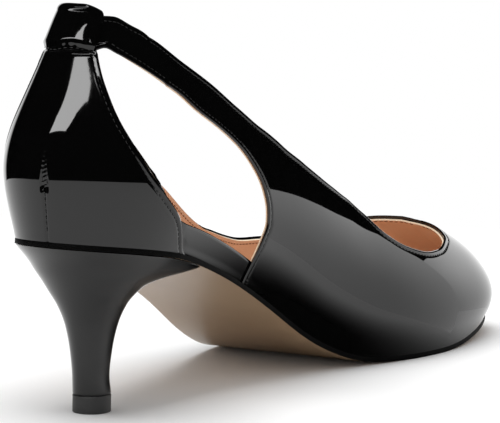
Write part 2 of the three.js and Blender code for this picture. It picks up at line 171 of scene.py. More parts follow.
@dataclass(frozen=True)
class Last:
    """The last that the shoe is built on, in millimetres.

    A point has a station and a girth. Girth is -1 at the sole's inner edge, 0 on the ridge and 1 at the sole's outer
    edge. Station is -1 at the back seam, 0 beside the middle of the heel seat and 1 at the toe's point.
    """

    sole_length: float = 246
    heel_height: float = 51.8
    ball_width: float = 67
    seat_width: float = 50
    heel_wall_width: float = 60
    heel_radius: float = 34.5
    tip_setback: float = 25
    cone_height: float = 88
    ball_height: float = 48.5
    toe_swing: float = 8.2
    swing_start: float = 0.3
    swing_bend: float = 1.5
    forepart_start: float = 0.5
    sole_thickness: float = 1.6
    gap: float = 0.3
    level_edge: float = 0.1
    toe_line: float = 1 - 1e-6
    step: float = 1e-3

    # place along the sole, rise over the floor as a share of the heel height
    RISE = (
        (0.0, 1.0), (0.05, 0.973), (0.1, 0.938), (0.14, 0.905), (0.2, 0.82), (0.3, 0.656), (0.4, 0.436), (0.5, 0.164),
        (0.6, 0.0116), (0.68, 0.0), (0.75, 0.0), (0.8, 0.0135), (0.86, 0.0425), (0.93, 0.085), (0.98, 0.112),
        (1.0, 0.1235),
    )  # fmt: skip
    # place, inner and outer half width at the sole, then at the wall, in ball widths, and ridge in ball heights
    SECTIONS = (
        (0.2, 0.358, 0.373, 0.433, 0.448, 1.856),
        (0.3, 0.313, 0.373, 0.41, 0.44, 1.835),
        (0.4, 0.284, 0.385, 0.396, 0.448, 1.711),
        (0.5, 0.313, 0.43, 0.41, 0.478, 1.485),
        (0.6, 0.403, 0.487, 0.47, 0.53, 1.175),
        (0.68, 0.476, 0.525, 0.515, 0.56, 1.0),
        (0.75, 0.485, 0.507, 0.519, 0.545, 0.907),
        (0.8, 0.46, 0.466, 0.496, 0.503, 0.831),
        (0.86, 0.41, 0.394, 0.452, 0.43, 0.722),
        (0.93, 0.31, 0.269, 0.349, 0.301, 0.505),
        (0.98, 0.179, 0.143, 0.212, 0.17, 0.326),
        (1.0, 0.0, 0.0, 0.0, 0.0, 0.186),
    )
    # half of a section from the sole up: part of the sole's width, part of the wall's, height, back seam's place
    HEEL = (
        (1.0, 0.0, 0.0, 0.0), (0.45, 0.55, 0.11, 0.035), (0.0, 1.0, 0.235, 0.067), (0.0, 0.93, 0.36, 0.046),
        (0.0, 0.74, 0.5, -0.041), (0.0, 0.52, 0.65, -0.162), (0.0, 0.33, 0.79, -0.29), (0.0, 0.16, 0.91, -0.55),
        (0.0, 0.0, 1.0, -1.0),
    )  # fmt: skip
    FOREPART = (
        (1.0, 0.0, 0.0), (0.3, 0.7, 0.12), (0.0, 1.0, 0.28), (0.0, 0.96, 0.45), (0.0, 0.865, 0.61), (0.0, 0.71, 0.78),
        (0.0, 0.48, 0.915), (0.0, 0.24, 0.98), (0.0, 0.0, 1.0),
    )  # fmt: skip

    def __post_init__(self) -> None:
        """Makes the curves that the surface is read from."""
        seat = self.seat_width / 2 / self.ball_width
        wall = self.heel_wall_width / 2 / self.ball_width
        seat_row = (self.seat_end, seat, seat, wall, wall, self.cone_height / self.ball_height)
        rows = np.array([seat_row, *self.SECTIONS])
        rise = np.array(self.RISE)
        parts = lambda table: [
            Curve(np.linspace(0, 1, len(table)), column, even=0.4) for column in np.array(table).T
        ]
        object.__setattr__(self, "rise", Curve(rise[:, 0], rise[:, 1], 1.0, even=0.3))
        object.__setattr__(self, "section", [Curve(rows[:, 0], column, 1.0, even=0.45) for column in rows[:, 1:].T])
        object.__setattr__(self, "heel_parts", parts(self.HEEL))
        object.__setattr__(self, "fore_parts", parts(self.FOREPART))

    @property
    def seat_end(self) -> float:
        """Share of the sole's length at which the heel's round end passes into the waist."""
        return self.heel_radius / self.sole_length

    @property
    def back(self) -> float:
        """Place of the sole's back edge."""
        return -self.tip_setback

    @property
    def seat_x(self) -> float:
        """Middle of the heel seat's round end."""
        return self.back + self.heel_radius

    def sole_bottom(self, x: Array) -> Array:
        """Height of the sole's underside over the floor."""
        return self.heel_height * self.rise(np.clip((x - self.back) / self.sole_length, 0, 1))

    def wall_bottom(self, x: Array) -> Array:
        """Height of the wall's lower edge."""
        return self.sole_bottom(x) + self.sole_thickness + self.gap

    def half_width(self, heel: Sequence[Array]) -> Array:
        """Half the heel's width at a height, from the shares read there from the heel's table."""
        return (heel[0] * self.seat_width + heel[1] * self.heel_wall_width) / 2

    def point(self, station: Array, girth: Array) -> Array:
        """Points of the last's surface.

        Args:
            station: Stations, one a point.
            girth: Girths, one a point.

        Returns:
            Places in millimetres, one row a point.
        """
        station, girth = np.broadcast_arrays(np.asarray(station, float), np.asarray(girth, float))
        side = np.where(girth < 0, -1.0, 1.0)
        up = 1 - np.abs(girth)
        heel = [part(up) for part in self.heel_parts]
        turn = (1 + np.minimum(station, 0)) * math.pi / 2
        fan_x = self.seat_x - self.heel_radius * (1 + heel[3]) * np.cos(turn)
        fan_y = side * self.half_width(heel) * np.sin(turn)
        floor = self.wall_bottom(self.seat_x - self.heel_radius * np.cos(turn))
        top = self.wall_bottom(np.array(self.seat_x)) + self.cone_height
        fan_z = floor + (top - floor) * heel[2]
        at = self.seat_end + (1 - self.seat_end) * np.maximum(station, 0)
        x = self.back + self.sole_length * at
        mix = smooth_step(at, self.seat_end, self.forepart_start)
        sole, wall, height = [h + (part(up) - h) * mix for h, part in zip(heel, self.fore_parts)]
        inner_sole, outer_sole, inner_wall, outer_wall, ridge = [curve(at) for curve in self.section]
        sole_half = self.ball_width * np.where(side < 0, inner_sole, outer_sole)
        wall_half = self.ball_width * np.where(side < 0, inner_wall, outer_wall)
        swing = np.maximum((at - self.swing_start) / (1 - self.swing_start), 0) ** self.swing_bend
        y = side * (sole * sole_half + wall * wall_half) - self.toe_swing * swing
        z = self.wall_bottom(x) + height * self.ball_height * ridge
        fan = station < 0
        return np.stack([np.where(fan, fan_x, x), np.where(fan, fan_y, y), np.where(fan, fan_z, z)], -1)

    def normal(self, station: Array, girth: Array) -> Array:
        """The surface's outward direction, level at the sole's edge.

        Args:
            station: Stations, one a point.
            girth: Girths, one a point.

        Returns:
            Directions of length 1, one row a point.
        """
        station, girth = np.broadcast_arrays(np.asarray(station, float), np.asarray(girth, float))
        up = 1 - np.abs(girth)
        s = np.minimum(station, 1 - 2 * self.step)
        g = np.clip(girth, -1 + self.step, 1 - self.step)
        along = self.point(s + self.step, g) - self.point(s - self.step, g)
        across = self.point(s, g + self.step) - self.point(s, g - self.step)
        out = np.cross(along, across)
        out /= np.maximum(np.linalg.norm(out, axis=-1, keepdims=True), 1e-12)
        out[..., 2] *= smooth_step(up, 0, self.level_edge)
        toe = np.stack([np.ones_like(up), np.zeros_like(up), up**4], -1)
        out = np.where((station > self.toe_line)[..., None], toe, out)
        return out / np.linalg.norm(out, axis=-1, keepdims=True)

    def wall(self, station: Array, girth: Array, depth: Array) -> Array:
        """Points at a depth inside the surface, in metres."""
        return (self.point(station, girth) - self.normal(station, girth) * np.asarray(depth)[..., None]) * MM

    def across_sole(self, station: Array, share: Array, inset: float) -> Array:
        """Points inside the sole's outline.

        Args:
            station: Stations, one a point.
            share: Shares of the width there, from the inner edge to the outer.
            inset: Distance inside the outline in millimetres.

        Returns:
            Places in metres.
        """
        inner, outer = [self.wall(station, float(side), inset) for side in Side]
        return inner + (outer - inner) * share[:, None]


LAST = Last()


@dataclass(frozen=True)
class Outlines:
    """Edges of the upper's pieces, as stations and girths."""

    throat_end: float = 0.831

    # station, inner girth, outer girth
    TOPLINE = (
        (-1.0, -0.25, 0.25), (-0.8, -0.25, 0.25), (-0.66, -0.25, 0.27), (-0.57, -0.25, 0.35), (-0.5, -0.25, 0.44),
        (-0.35, -0.254, 0.487), (-0.18, -0.28, 0.515), (0.0, -0.315, 0.543), (0.07, -0.371, 0.562),
        (0.128, -0.415, 0.58), (0.186, -0.461, 0.592), (0.244, -0.486, 0.597), (0.302, -0.488, 0.592),
        (0.36, -0.464, 0.579), (0.419, -0.422, 0.566), (0.477, -0.371, 0.542), (0.512, -0.346, 0.516),
        (0.54, -0.354, 0.502), (0.581, -0.405, 0.486), (0.628, -0.435, 0.456), (0.674, -0.443, 0.427),
        (0.721, -0.424, 0.382), (0.767, -0.372, 0.312), (0.79, -0.335, 0.25), (0.81, -0.27, 0.15),
        (0.825, -0.19, 0.02), (0.831, -0.09, -0.09),
    )  # fmt: skip
    # lower edge of the strap, round the cut-out's front and down the vamp's rear edge
    STRAP_LOW = (
        (-0.97, -0.385), (-0.8, -0.377), (-0.66, -0.365), (-0.566, -0.353), (-0.5, -0.348), (-0.4, -0.365),
        (-0.25, -0.395), (-0.09, -0.43), (0.0, -0.452), (0.07, -0.512), (0.128, -0.555), (0.17, -0.594),
        (0.2, -0.638), (0.21, -0.658), (0.22, -0.69), (0.2268, -0.735), (0.2275, -0.77), (0.221, -0.82),
        (0.211, -0.905), (0.204, -1.0),
    )  # fmt: skip
    # top of the low inner panel
    PANEL_TOP = (
        (-0.5, -0.54), (-0.4, -0.65), (-0.25, -0.785), (-0.09, -0.877), (0.0, -0.892), (0.07, -0.899),
        (0.128, -0.906), (0.17, -0.911), (0.25, -0.92),
    )  # fmt: skip
    # girth without its sign, station
    COUNTER_EDGE = (
        (0.25, -0.625), (0.345, -0.59), (0.42, -0.567), (0.485, -0.533), (0.54, -0.5), (0.655, -0.4), (0.725, -0.333),
        (0.795, -0.233), (0.88, -0.083), (1.0, 0.012),
    )  # fmt: skip
    VAMP_EDGE = ((0.4, 0.262), (0.6, 0.243), (0.76, 0.2275), (0.82, 0.221), (0.905, 0.211), (1.0, 0.204))

    def __post_init__(self) -> None:
        """Makes the curves."""
        top = np.array(self.TOPLINE)
        object.__setattr__(self, "inner_top", Curve(top[:, 0], top[:, 1], self.throat_end))
        object.__setattr__(self, "outer_top", Curve(top[:, 0], top[:, 2], self.throat_end))
        for name, table in (("panel_top", self.PANEL_TOP), ("counter", self.COUNTER_EDGE), ("vamp", self.VAMP_EDGE)):
            rows = np.array(table)
            object.__setattr__(self, name, Curve(rows[:, 0], rows[:, 1]))


OUTLINES = Outlines()


class Path:
    """A line on the last, read by its length in millimetres."""

    def __init__(self, station: Array, girth: Array, smooth: bool = False) -> None:
        """Measures the line.

        Args:
            station: Stations of the line's points.
            girth: Girths of the line's points.
            smooth: Whether a smooth curve joins the points, or straight steps.
        """
        station, girth = np.asarray(station, float), np.asarray(girth, float)
        if smooth:
            rough = self.lengths(station, girth)
            fine = np.linspace(0, rough[-1], 40 * len(rough))
            station, girth = Curve(rough, station)(fine), Curve(rough, girth)(fine)
        self.at = self.lengths(station, girth)
        self.station, self.girth = station, girth
        self.length = self.at[-1]

    @staticmethod
    def lengths(station: Array, girth: Array) -> Array:
        """Length along the line up to each of its points."""
        steps = np.linalg.norm(np.diff(LAST.point(station, girth), axis=0), axis=-1)
        return np.concatenate([[0], np.cumsum(np.maximum(steps, 1e-6))])

    def __call__(self, share: Array) -> tuple[Array, Array]:
        """Station and girth at shares of the line's length."""
        at = np.asarray(share) * self.length
        return np.interp(at, self.at, self.station), np.interp(at, self.at, self.girth)

    def share_at_station(self, station: float) -> float:
        """Share of the length at which the line first reaches a station."""
        return float(self.at[np.argmax(self.station >= station)] / self.length)

    def part(self, start: float, end: float) -> "Path":
        """The stretch between two shares of the length."""
        station, girth = self(np.linspace(start, end, 400))
        return Path(station, girth)


def topline(side: Side, start: float) -> Path:
    """The upper's top edge from a station forward to the throat's end.

    Args:
        side: The shoe's side.
        start: Station at which the line starts.

    Returns:
        The line.
    """
    station = OUTLINES.throat_end - (OUTLINES.throat_end - start) * np.linspace(1, 0, 900) ** 2
    top = OUTLINES.inner_top if side is Side.INNER else OUTLINES.outer_top
    return Path(station, top(station))


def ridge_line(station: float, girth: float) -> Path:
    """The line from the throat's end, given by its station and girth, along the ridge to the toe's point."""
    along = 1 - (1 - station) * np.linspace(1, 0, 300) ** 2
    return Path(along, girth * (1 - along) / (1 - station) - 1e-9)


def beside(line: Path, share: Array, inset: float) -> tuple[Array, Array]:
    """Points beside a line on the last.

    Args:
        line: The line.
        share: Shares of its length.
        inset: Distance in millimetres to the right of one who walks the line on the last's outside.

    Returns:
        Stations and girths.
    """
    station, girth = line(share)
    nearby = 0.8 / line.length
    before, after = line(np.clip(share - nearby, 0, 1)), line(np.clip(share + nearby, 0, 1))
    along = LAST.point(*after) - LAST.point(*before)
    along /= np.linalg.norm(along, axis=-1, keepdims=True)
    want = np.cross(along, LAST.normal(station, girth)) * inset
    size = 1e-3
    ds = (LAST.point(station + size, girth) - LAST.point(station - size, girth)) / (2 * size)
    dg = (LAST.point(station, girth + size) - LAST.point(station, girth - size)) / (2 * size)
    a, b, c = (ds * ds).sum(-1), (ds * dg).sum(-1), (dg * dg).sum(-1)
    p, q = (want * ds).sum(-1), (want * dg).sum(-1)
    scale = np.maximum(a * c - b * b, 1e-9)
    return station + (p * c - q * b) / scale, girth + (q * a - p * b) / scale


def set_back(line: Path, inset: float) -> Path:
    """Moves a line sideways over the last.

    Args:
        line: The line.
        inset: Distance in millimetres, as for the points beside a line.

    Returns:
        The moved line.
    """
    if not inset:
        return line
    return Path(*beside(line, np.linspace(0, 1, 500), inset))


def chain(first: Path, second: Path) -> Path:
    """Two lines end to end."""
    return Path(
        np.concatenate([first.station, second.station[1:]]), np.concatenate([first.girth, second.girth[1:]])
    )


def sole_line(side: Side, start: float) -> Path:
    """The sole's edge from a station forward to the toe's point."""
    station = 1 - (1 - start) * np.linspace(1, 0, 900) ** 2
    return Path(station, np.full_like(station, side))


# places of a sheet's first rows of points, in millimetres from its edge
EDGE_STEPS = (0.0, 0.3, 0.6, 0.9, 1.2, 1.5, 1.8, 2.1, 2.4, 2.8, 3.3, 4.0)


def graded(length: Array, share: Array, count: int) -> Array:
    """Spreads a row's points so that they are close together at both of its edges.

    Args:
        length: The rows' lengths in millimetres, one a point.
        share: Even shares from 0 to 1, one a point.
        count: Number of steps in a row.

    Returns:
        The graded shares.
    """
    index = np.rint(share * count).astype(int)
    edge = np.array(EDGE_STEPS)
    near = len(edge) - 1
    scale = np.minimum(1.0, length * 0.3 / edge[-1])
    start = edge[np.clip(index, 0, near)] * scale / np.maximum(length, 1e-6)
    end = 1 - edge[np.clip(count - index, 0, near)] * scale / np.maximum(length, 1e-6)
    margin = edge[-1] * scale / np.maximum(length, 1e-6)
    middle = margin + (1 - 2 * margin) * (index - near) / max(count - 2 * near, 1)
    return np.where(index <= near, start, np.where(count - index <= near, end, middle))


def strap_line() -> Path:
    """The strap's lower edge, on round the cut-out's front and down the vamp's rear edge."""
    return Path(*np.array(OUTLINES.STRAP_LOW).T, smooth=True)


def vamp_edge() -> Path:
    """The vamp's rear edge on the outer side, from the topline down to the sole."""
    girth = np.linspace(0.597, 1, 60)
    return Path(OUTLINES.vamp(girth), girth)


def counter_edge(side: Side) -> Path:
    """The counter's front edge on one side, from the loop down to the sole."""
    girth = np.linspace(0.28 if side is Side.INNER else 0.37, 1, 200)
    return Path(OUTLINES.counter(girth), side * girth)


def deselect() -> None:
    """Leaves nothing selected."""
    bpy.ops.object.select_all(action="DESELECT")


def only(piece: Piece) -> None:
    """Makes one piece the selected and active one.

    Args:
        piece: The piece.
    """
    deselect()
    piece.select_set(True)
    bpy.context.view_layer.objects.active = piece


def positions(piece: Piece) -> Array:
    """A piece's points, one row each.

    Args:
        piece: The piece.

    Returns:
        The points.
    """
    found = np.empty(len(piece.data.vertices) * 3)
    piece.data.vertices.foreach_get("co", found)
    return found.reshape(-1, 3)


def set_positions(piece: Piece, places: Array) -> None:
    """Moves a piece's points."""
    piece.data.vertices.foreach_set("co", np.asarray(places, float).ravel())
    piece.data.update()


def edit(piece: Piece, *steps: Callable[[], object]) -> None:
    """Runs edit mode operators on the whole of a piece.

    Args:
        piece: The piece.
        steps: The operators, each run with everything selected.
    """
    only(piece)
    bpy.ops.object.mode_set(mode="EDIT")
    for step in steps:
        bpy.ops.mesh.select_all(action="SELECT")
        step()
    bpy.ops.object.mode_set(mode="OBJECT")


def apply(piece: Piece, kind: str, **settings: object) -> None:
    """Adds a modifier to a piece and applies it.

    Args:
        piece: The piece.
        kind: Blender's name of the modifier's kind.
        settings: The modifier's settings.
    """
    only(piece)
    modifier = piece.modifiers.new(kind.title(), kind)
    for name, value in settings.items():
        setattr(modifier, name, value)
    bpy.ops.object.modifier_apply(modifier=modifier.name)


def smooth(piece: Piece, degrees: float = 40) -> None:
    """Shades a piece smooth, but for edges sharper than an angle."""
    only(piece)
    bpy.ops.object.shade_smooth_by_angle(angle=math.radians(degrees))


def join(pieces: Sequence[Piece], name: str, merge: float) -> Piece:
    """Joins pieces into one.

    Args:
        pieces: The pieces, of which the first is kept.
        name: The joined piece's name.
        merge: Distance in metres within which points are merged.

    Returns:
        The joined piece.
    """
    only(pieces[0])
    for piece in pieces:
        piece.select_set(True)
    bpy.ops.object.join()
    joined = pieces[0]
    joined.name = joined.data.name = name
    edit(joined, partial(bpy.ops.mesh.remove_doubles, threshold=merge))
    return joined


def grid(name: str, rows: int, columns: int) -> tuple[Piece, Array, Array]:
    """A flat grid to be laid on the last.

    Args:
        name: The piece's name.
        rows: Number of faces one way.
        columns: Number of faces the other way.

    Returns:
        The piece, and each point's share of the rows and of the columns.
    """
    deselect()
    bpy.ops.mesh.primitive_grid_add(x_subdivisions=rows, y_subdivisions=columns, size=2)
    piece = bpy.context.object
    piece.name = piece.data.name = name
    flat = positions(piece)
    return piece, (flat[:, 0] + 1) / 2, (flat[:, 1] + 1) / 2


def lay(name: str, rows: int, columns: int, place: Place, depth: Depth) -> Piece:
    """Lays a grid of leather on the last, facing outwards, down to the sole.

    Args:
        name: The piece's name.
        rows: Number of faces along the piece.
        columns: Number of faces across it.
        place: Gives stations and girths for the grid's shares.
        depth: Gives depths in millimetres for stations, girths and points.

    Returns:
        The sheet, still without a thickness.
    """
    piece, u, v = grid(name, rows, columns)
    station, girth = place(u, v)
    base = LAST.point(station, girth)
    places = LAST.wall(station, girth, depth(station, girth, base))
    places[:, 2] -= LAST.gap * MM * smooth_step(np.abs(girth), 0.97, 1.0)
    set_positions(piece, places)
    face_out(piece, station, girth)
    return piece


def face_out(piece: Piece, station: Array, girth: Array) -> None:
    """Turns a sheet's faces to point out of the last.

    Args:
        piece: The sheet.
        station: Its points' stations.
        girth: Its points' girths.
    """
    out = LAST.normal(station, girth)
    faces = list(piece.data.polygons)
    some = faces[:: max(1, len(faces) // 400)]
    if sum(float(np.dot(face.normal, out[face.vertices[0]])) for face in some) < 0:
        edit(piece, bpy.ops.mesh.flip_normals)


def round_edges(piece: Piece, radius: float, segments: int, degrees: float, slide: bool = True) -> None:
    """Rounds a piece's sharp edges and shades it smooth.

    Args:
        piece: The piece.
        radius: Radius in millimetres.
        segments: Number of faces round an edge.
        degrees: Angle from which an edge is sharp.
        slide: Whether the rounding keeps to the faces beside it.
    """
    apply(
        piece, "BEVEL", width=radius * MM, segments=segments, limit_method="ANGLE",
        angle_limit=math.radians(degrees), use_clamp_overlap=True, loop_slide=slide,
    )  # fmt: skip
    smooth(piece)


def thicken(piece: Piece, thickness: float, round_edge: float, rim_slot: int = 0, under_slot: int = 0) -> None:
    """Gives a sheet its thickness inwards and rounds its cut edges.

    Args:
        piece: The sheet.
        thickness: Thickness in millimetres.
        round_edge: Radius of the edges in millimetres.
        rim_slot: Steps from the face's material to the cut edge's.
        under_slot: Steps from the face's material to the inner face's.
    """
    apply(
        piece, "SOLIDIFY", thickness=thickness * MM, offset=-1.0, use_rim=True, material_offset_rim=rim_slot,
        material_offset=under_slot, use_quality_normals=True,
    )  # fmt: skip
    round_edges(piece, round_edge, 3, 55, slide=False)


class Ribbon:
    """A strip of leather between a lower and an upper line."""

    def __init__(self, low: Path, high: Path, rungs: Sequence[tuple[float, float]], rows: int, columns: int) -> None:
        """Pairs the two lines.

        Args:
            low: The lower line.
            high: The upper line.
            rungs: Shares of the lower and the upper line's length that lie across from each other.
            rows: Number of faces along.
            columns: Number of faces across.
        """
        self.low, self.high, self.rows, self.columns = low, high, rows, columns
        pairs = np.array(rungs)
        spans = np.maximum(np.diff(pairs[:, 0]) * low.length, np.diff(pairs[:, 1]) * high.length)
        self.at = np.concatenate([[0], np.cumsum(spans)]) / spans.sum()
        self.pairs = pairs

    def place(self, u: Array, v: Array) -> tuple[Array, Array]:
        """Station and girth for shares along and across.

        Args:
            u: Shares along the strip.
            v: Shares across it, from the lower line up.

        Returns:
            Stations and girths.
        """
        low_s, low_g = self.low(np.interp(u, self.at, self.pairs[:, 0]))
        high_s, high_g = self.high(np.interp(u, self.at, self.pairs[:, 1]))
        middle = LAST.point((low_s + high_s) / 2, (low_g + high_g) / 2)
        length = np.linalg.norm(LAST.point(low_s, low_g) - middle, axis=-1)
        length = length + np.linalg.norm(LAST.point(high_s, high_g) - middle, axis=-1)
        share = graded(length, v, self.columns)
        key = lambda station: -np.sqrt(np.maximum(1 - station, 0))
        station = 1 - (key(low_s) + (key(high_s) - key(low_s)) * share) ** 2
        return station, low_g + (high_g - low_g) * share


def near_line(base: Array, line: Path, reach: float = 8.0) -> Array:
    """Distance from points to a line, in millimetres, for those within reach.

    Args:
        base: The points.
        line: The line.
        reach: Distance past which the answer is only this.

    Returns:
        The distances.
    """
    count = max(int(line.length / 0.25), 2)
    station, girth = line(np.linspace(0, 1, count + 1))
    marks = LAST.point(station, girth)
    tree = KDTree(len(marks))
    for i, mark in enumerate(marks):
        tree.insert(mark, i)
    tree.balance()
    found = np.full(len(base), reach)
    low, high = marks.min(0) - reach, marks.max(0) + reach
    for i in np.flatnonzero(((base > low) & (base < high)).all(-1)):
        at, index, distance = tree.find(base[i])
        if distance >= reach:
            continue
        before, after = marks[max(index - 1, 0)], marks[min(index + 1, count)]
        along = (after - before) / max(np.linalg.norm(after - before), 1e-9)
        offset = base[i] - marks[index]
        found[i] = np.linalg.norm(offset - along * (offset @ along))
    return found


def linear(hex_colour: str) -> tuple[float, float, float, float]:
    """Turns an sRGB hex colour to linear, with full cover."""
    parts = [int(hex_colour[i : i + 2], 16) / 255 for i in (1, 3, 5)]
    return (*[c / 12.92 if c <= 0.04045 else ((c + 0.055) / 1.055) ** 2.4 for c in parts], 1.0)


def add_node(tree: Tree, kind: str, settings: dict, **links: object) -> bpy.types.Node:
    """Adds a node with its settings, values and links.

    Args:
        tree: The node tree.
        kind: The node's type.
        settings: Attributes of the node, and values of inputs by name or index.
        links: Sockets to link to the node's inputs, with spaces in names as underscores.

    Returns:
        The node.
    """
    made = tree.nodes.new(kind)
    for name, value in settings.items():
        if isinstance(name, str) and hasattr(made, name):
            setattr(made, name, value)
        else:
            made.inputs[name].default_value = value
    for name, socket in links.items():
        key = int(name[1:]) if name[0] == "i" and name[1:].isdigit() else name.replace("_", " ")
        tree.links.new(socket, made.inputs[key])
    return made


def ramp(tree: Tree, value: Socket, low: float, high: float, first: float = 0.0, last: float = 1.0) -> Socket:
    """Adds a soft step.

    Args:
        tree: The node tree.
        value: The number that the step follows.
        low: Number at which the step starts.
        high: Number at which it ends.
        first: Result up to its start.
        last: Result from its end.

    Returns:
        The result's socket.
    """
    return add_node(
        tree, "ShaderNodeMapRange",
        {"interpolation_type": "SMOOTHSTEP", "From Min": low, "From Max": high, "To Min": first, "To Max": last},
        Value=value,
    ).outputs[0]  # fmt: skip


def by_ray(tree: Tree, ray: str, usual: float | Socket, special: float | Socket) -> Socket:
    """Chooses a number by the kind of ray.

    Args:
        tree: The node tree.
        ray: Name of the light path output that tells the kind.
        usual: Number for all other rays.
        special: Number for rays of the kind.

    Returns:
        The chosen number's socket.
    """
    kind = add_node(tree, "ShaderNodeLightPath", {}).outputs[ray]
    chosen = add_node(tree, "ShaderNodeMix", {"data_type": "FLOAT"}, i0=kind)
    for index, number in ((2, usual), (3, special)):
        if isinstance(number, float):
            chosen.inputs[index].default_value = number
        else:
            tree.links.new(number, chosen.inputs[index])
    return chosen.outputs[0]


@dataclass(frozen=True)
class Finish:
    """A surface finish, with its colours as sRGB hex values."""

    name: str
    colour: str
    shade: str
    roughness: float
    ior: float = 1.5
    sheen: float = 0.0
    mottle_mm: float = 12.0
    grain_mm: float = 0.8
    grain_depth_mm: float = 0.02
    wave_mm: float = 0.0
    wave_depth_mm: float = 0.0

    def build(self) -> Material:
        """Makes the material: two close colours in slow patches, a fine grain and, for some, a slow wave.

        Returns:
            The material.
        """
        made = bpy.data.materials.new(self.name)
        made.use_nodes = True
        tree = made.node_tree
        tree.nodes.clear()
        place = add_node(tree, "ShaderNodeTexCoord", {}).outputs["Object"]

        def noise(size: float, detail: float, roughness: float) -> Socket:
            """Adds patches of a size in millimetres."""
            settings = {"Scale": 1 / (size * MM), "Detail": detail, "Roughness": roughness}
            return add_node(tree, "ShaderNodeTexNoise", settings, Vector=place).outputs["Fac"]

        colour = add_node(
            tree, "ShaderNodeMix", {"data_type": "RGBA", 6: linear(self.colour), 7: linear(self.shade)},
            i0=noise(self.mottle_mm, 3.0, 0.6),
        )  # fmt: skip
        relief = add_node(
            tree, "ShaderNodeBump", {"Strength": 1.0, "Distance": self.grain_depth_mm * MM},
            Height=noise(self.grain_mm, 4.0, 0.65),
        )  # fmt: skip
        if self.wave_mm:
            relief = add_node(
                tree, "ShaderNodeBump", {"Strength": 1.0, "Distance": self.wave_depth_mm * MM},
                Height=noise(self.wave_mm, 1.0, 0.5), Normal=relief.outputs["Normal"],
            )  # fmt: skip
        numbers = {"Roughness": self.roughness, "IOR": self.ior, "Sheen Weight": self.sheen}
        shader = add_node(
            tree, "ShaderNodeBsdfPrincipled", numbers, Base_Color=colour.outputs[2], Normal=relief.outputs["Normal"]
        )
        add_node(tree, "ShaderNodeOutputMaterial", {}, Surface=shader.outputs[0])
        return made


class Finishes:
    """The shoe's materials."""

    def __init__(self) -> None:
        """Builds each material once."""
        # Patent leather: dyed black under a poured, mirror-like lacquer, so only reflections show
        self.patent = Finish(
            "black_patent_leather", "#050505", "#080808", 0.03, grain_mm=1.6, grain_depth_mm=0.0006, wave_mm=14,
            wave_depth_mm=0.02,
        ).build()  # fmt: skip
        # Lining: vegetable tanned goat skin, matt with fine pores
        self.lining = Finish(
            "tan_lining_leather", "#EAC8AE", "#E0B999", 0.55, sheen=0.05, grain_mm=0.9, grain_depth_mm=0.05
        ).build()
        # Cut edge of the lining: raw pale hide
        self.edge = Finish("cream_cut_edge", "#FFF0D8", "#F6E2C4", 0.6, grain_mm=0.6).build()
        # Sole: smooth rolled leather board
        self.sole = Finish(
            "khaki_sole_leather", "#A68C70", "#957A5F", 0.3, mottle_mm=25, grain_mm=0.7, grain_depth_mm=0.03
        ).build()
        # Edge of the sole: waxed black ink
        self.ink = Finish(
            "black_edge_ink", "#050505", "#080808", 0.6, ior=1.12, grain_mm=1.0, grain_depth_mm=0.01
        ).build()
        # Thread: bonded nylon
        self.thread = Finish("black_nylon_thread", "#0C0C0C", "#181818", 0.35, grain_mm=0.3).build()
        self.tan_thread = Finish("brown_nylon_thread", "#8A5A3A", "#7A4C30", 0.5, grain_mm=0.3).build()
        # Top piece: moulded rubber
        self.rubber = Finish(
            "black_moulded_rubber", "#2A2A2A", "#303030", 0.5, mottle_mm=4, grain_mm=0.5, grain_depth_mm=0.03
        ).build()


def dress(piece: Piece, *materials: Material) -> None:
    """Gives a piece its materials, in the order of its slots.

    Args:
        piece: The piece.
        materials: The material of its faces, and then that of its cut edges or its underside, if they differ.
    """
    piece.data.materials.clear()
    for material in materials:
        piece.data.materials.append(material)


# thicknesses, and depths of the faces inside the last, in millimetres
LEATHER = 1.1
PANEL_DEPTH = 0.8
LINING_DEPTH = 1.15
LINING = 0.55
# radius of a rolled edge of the leather, and of a cut edge of the lining
ROLLED = 0.3
CUT = 0.12
# how far a row of stitches lies from the edge that it holds, and how deep
SEW_IN = 1.8
SEW_DEPTH = 0.16
# stations at which the strap ends under the loop, and at which the vamp's rear edge meets the outer side's sole
STRAP_END = -0.97
VAMP_FOOT = 0.204
# girths between which the back seam's dart runs
DART = (0.65, 0.79)


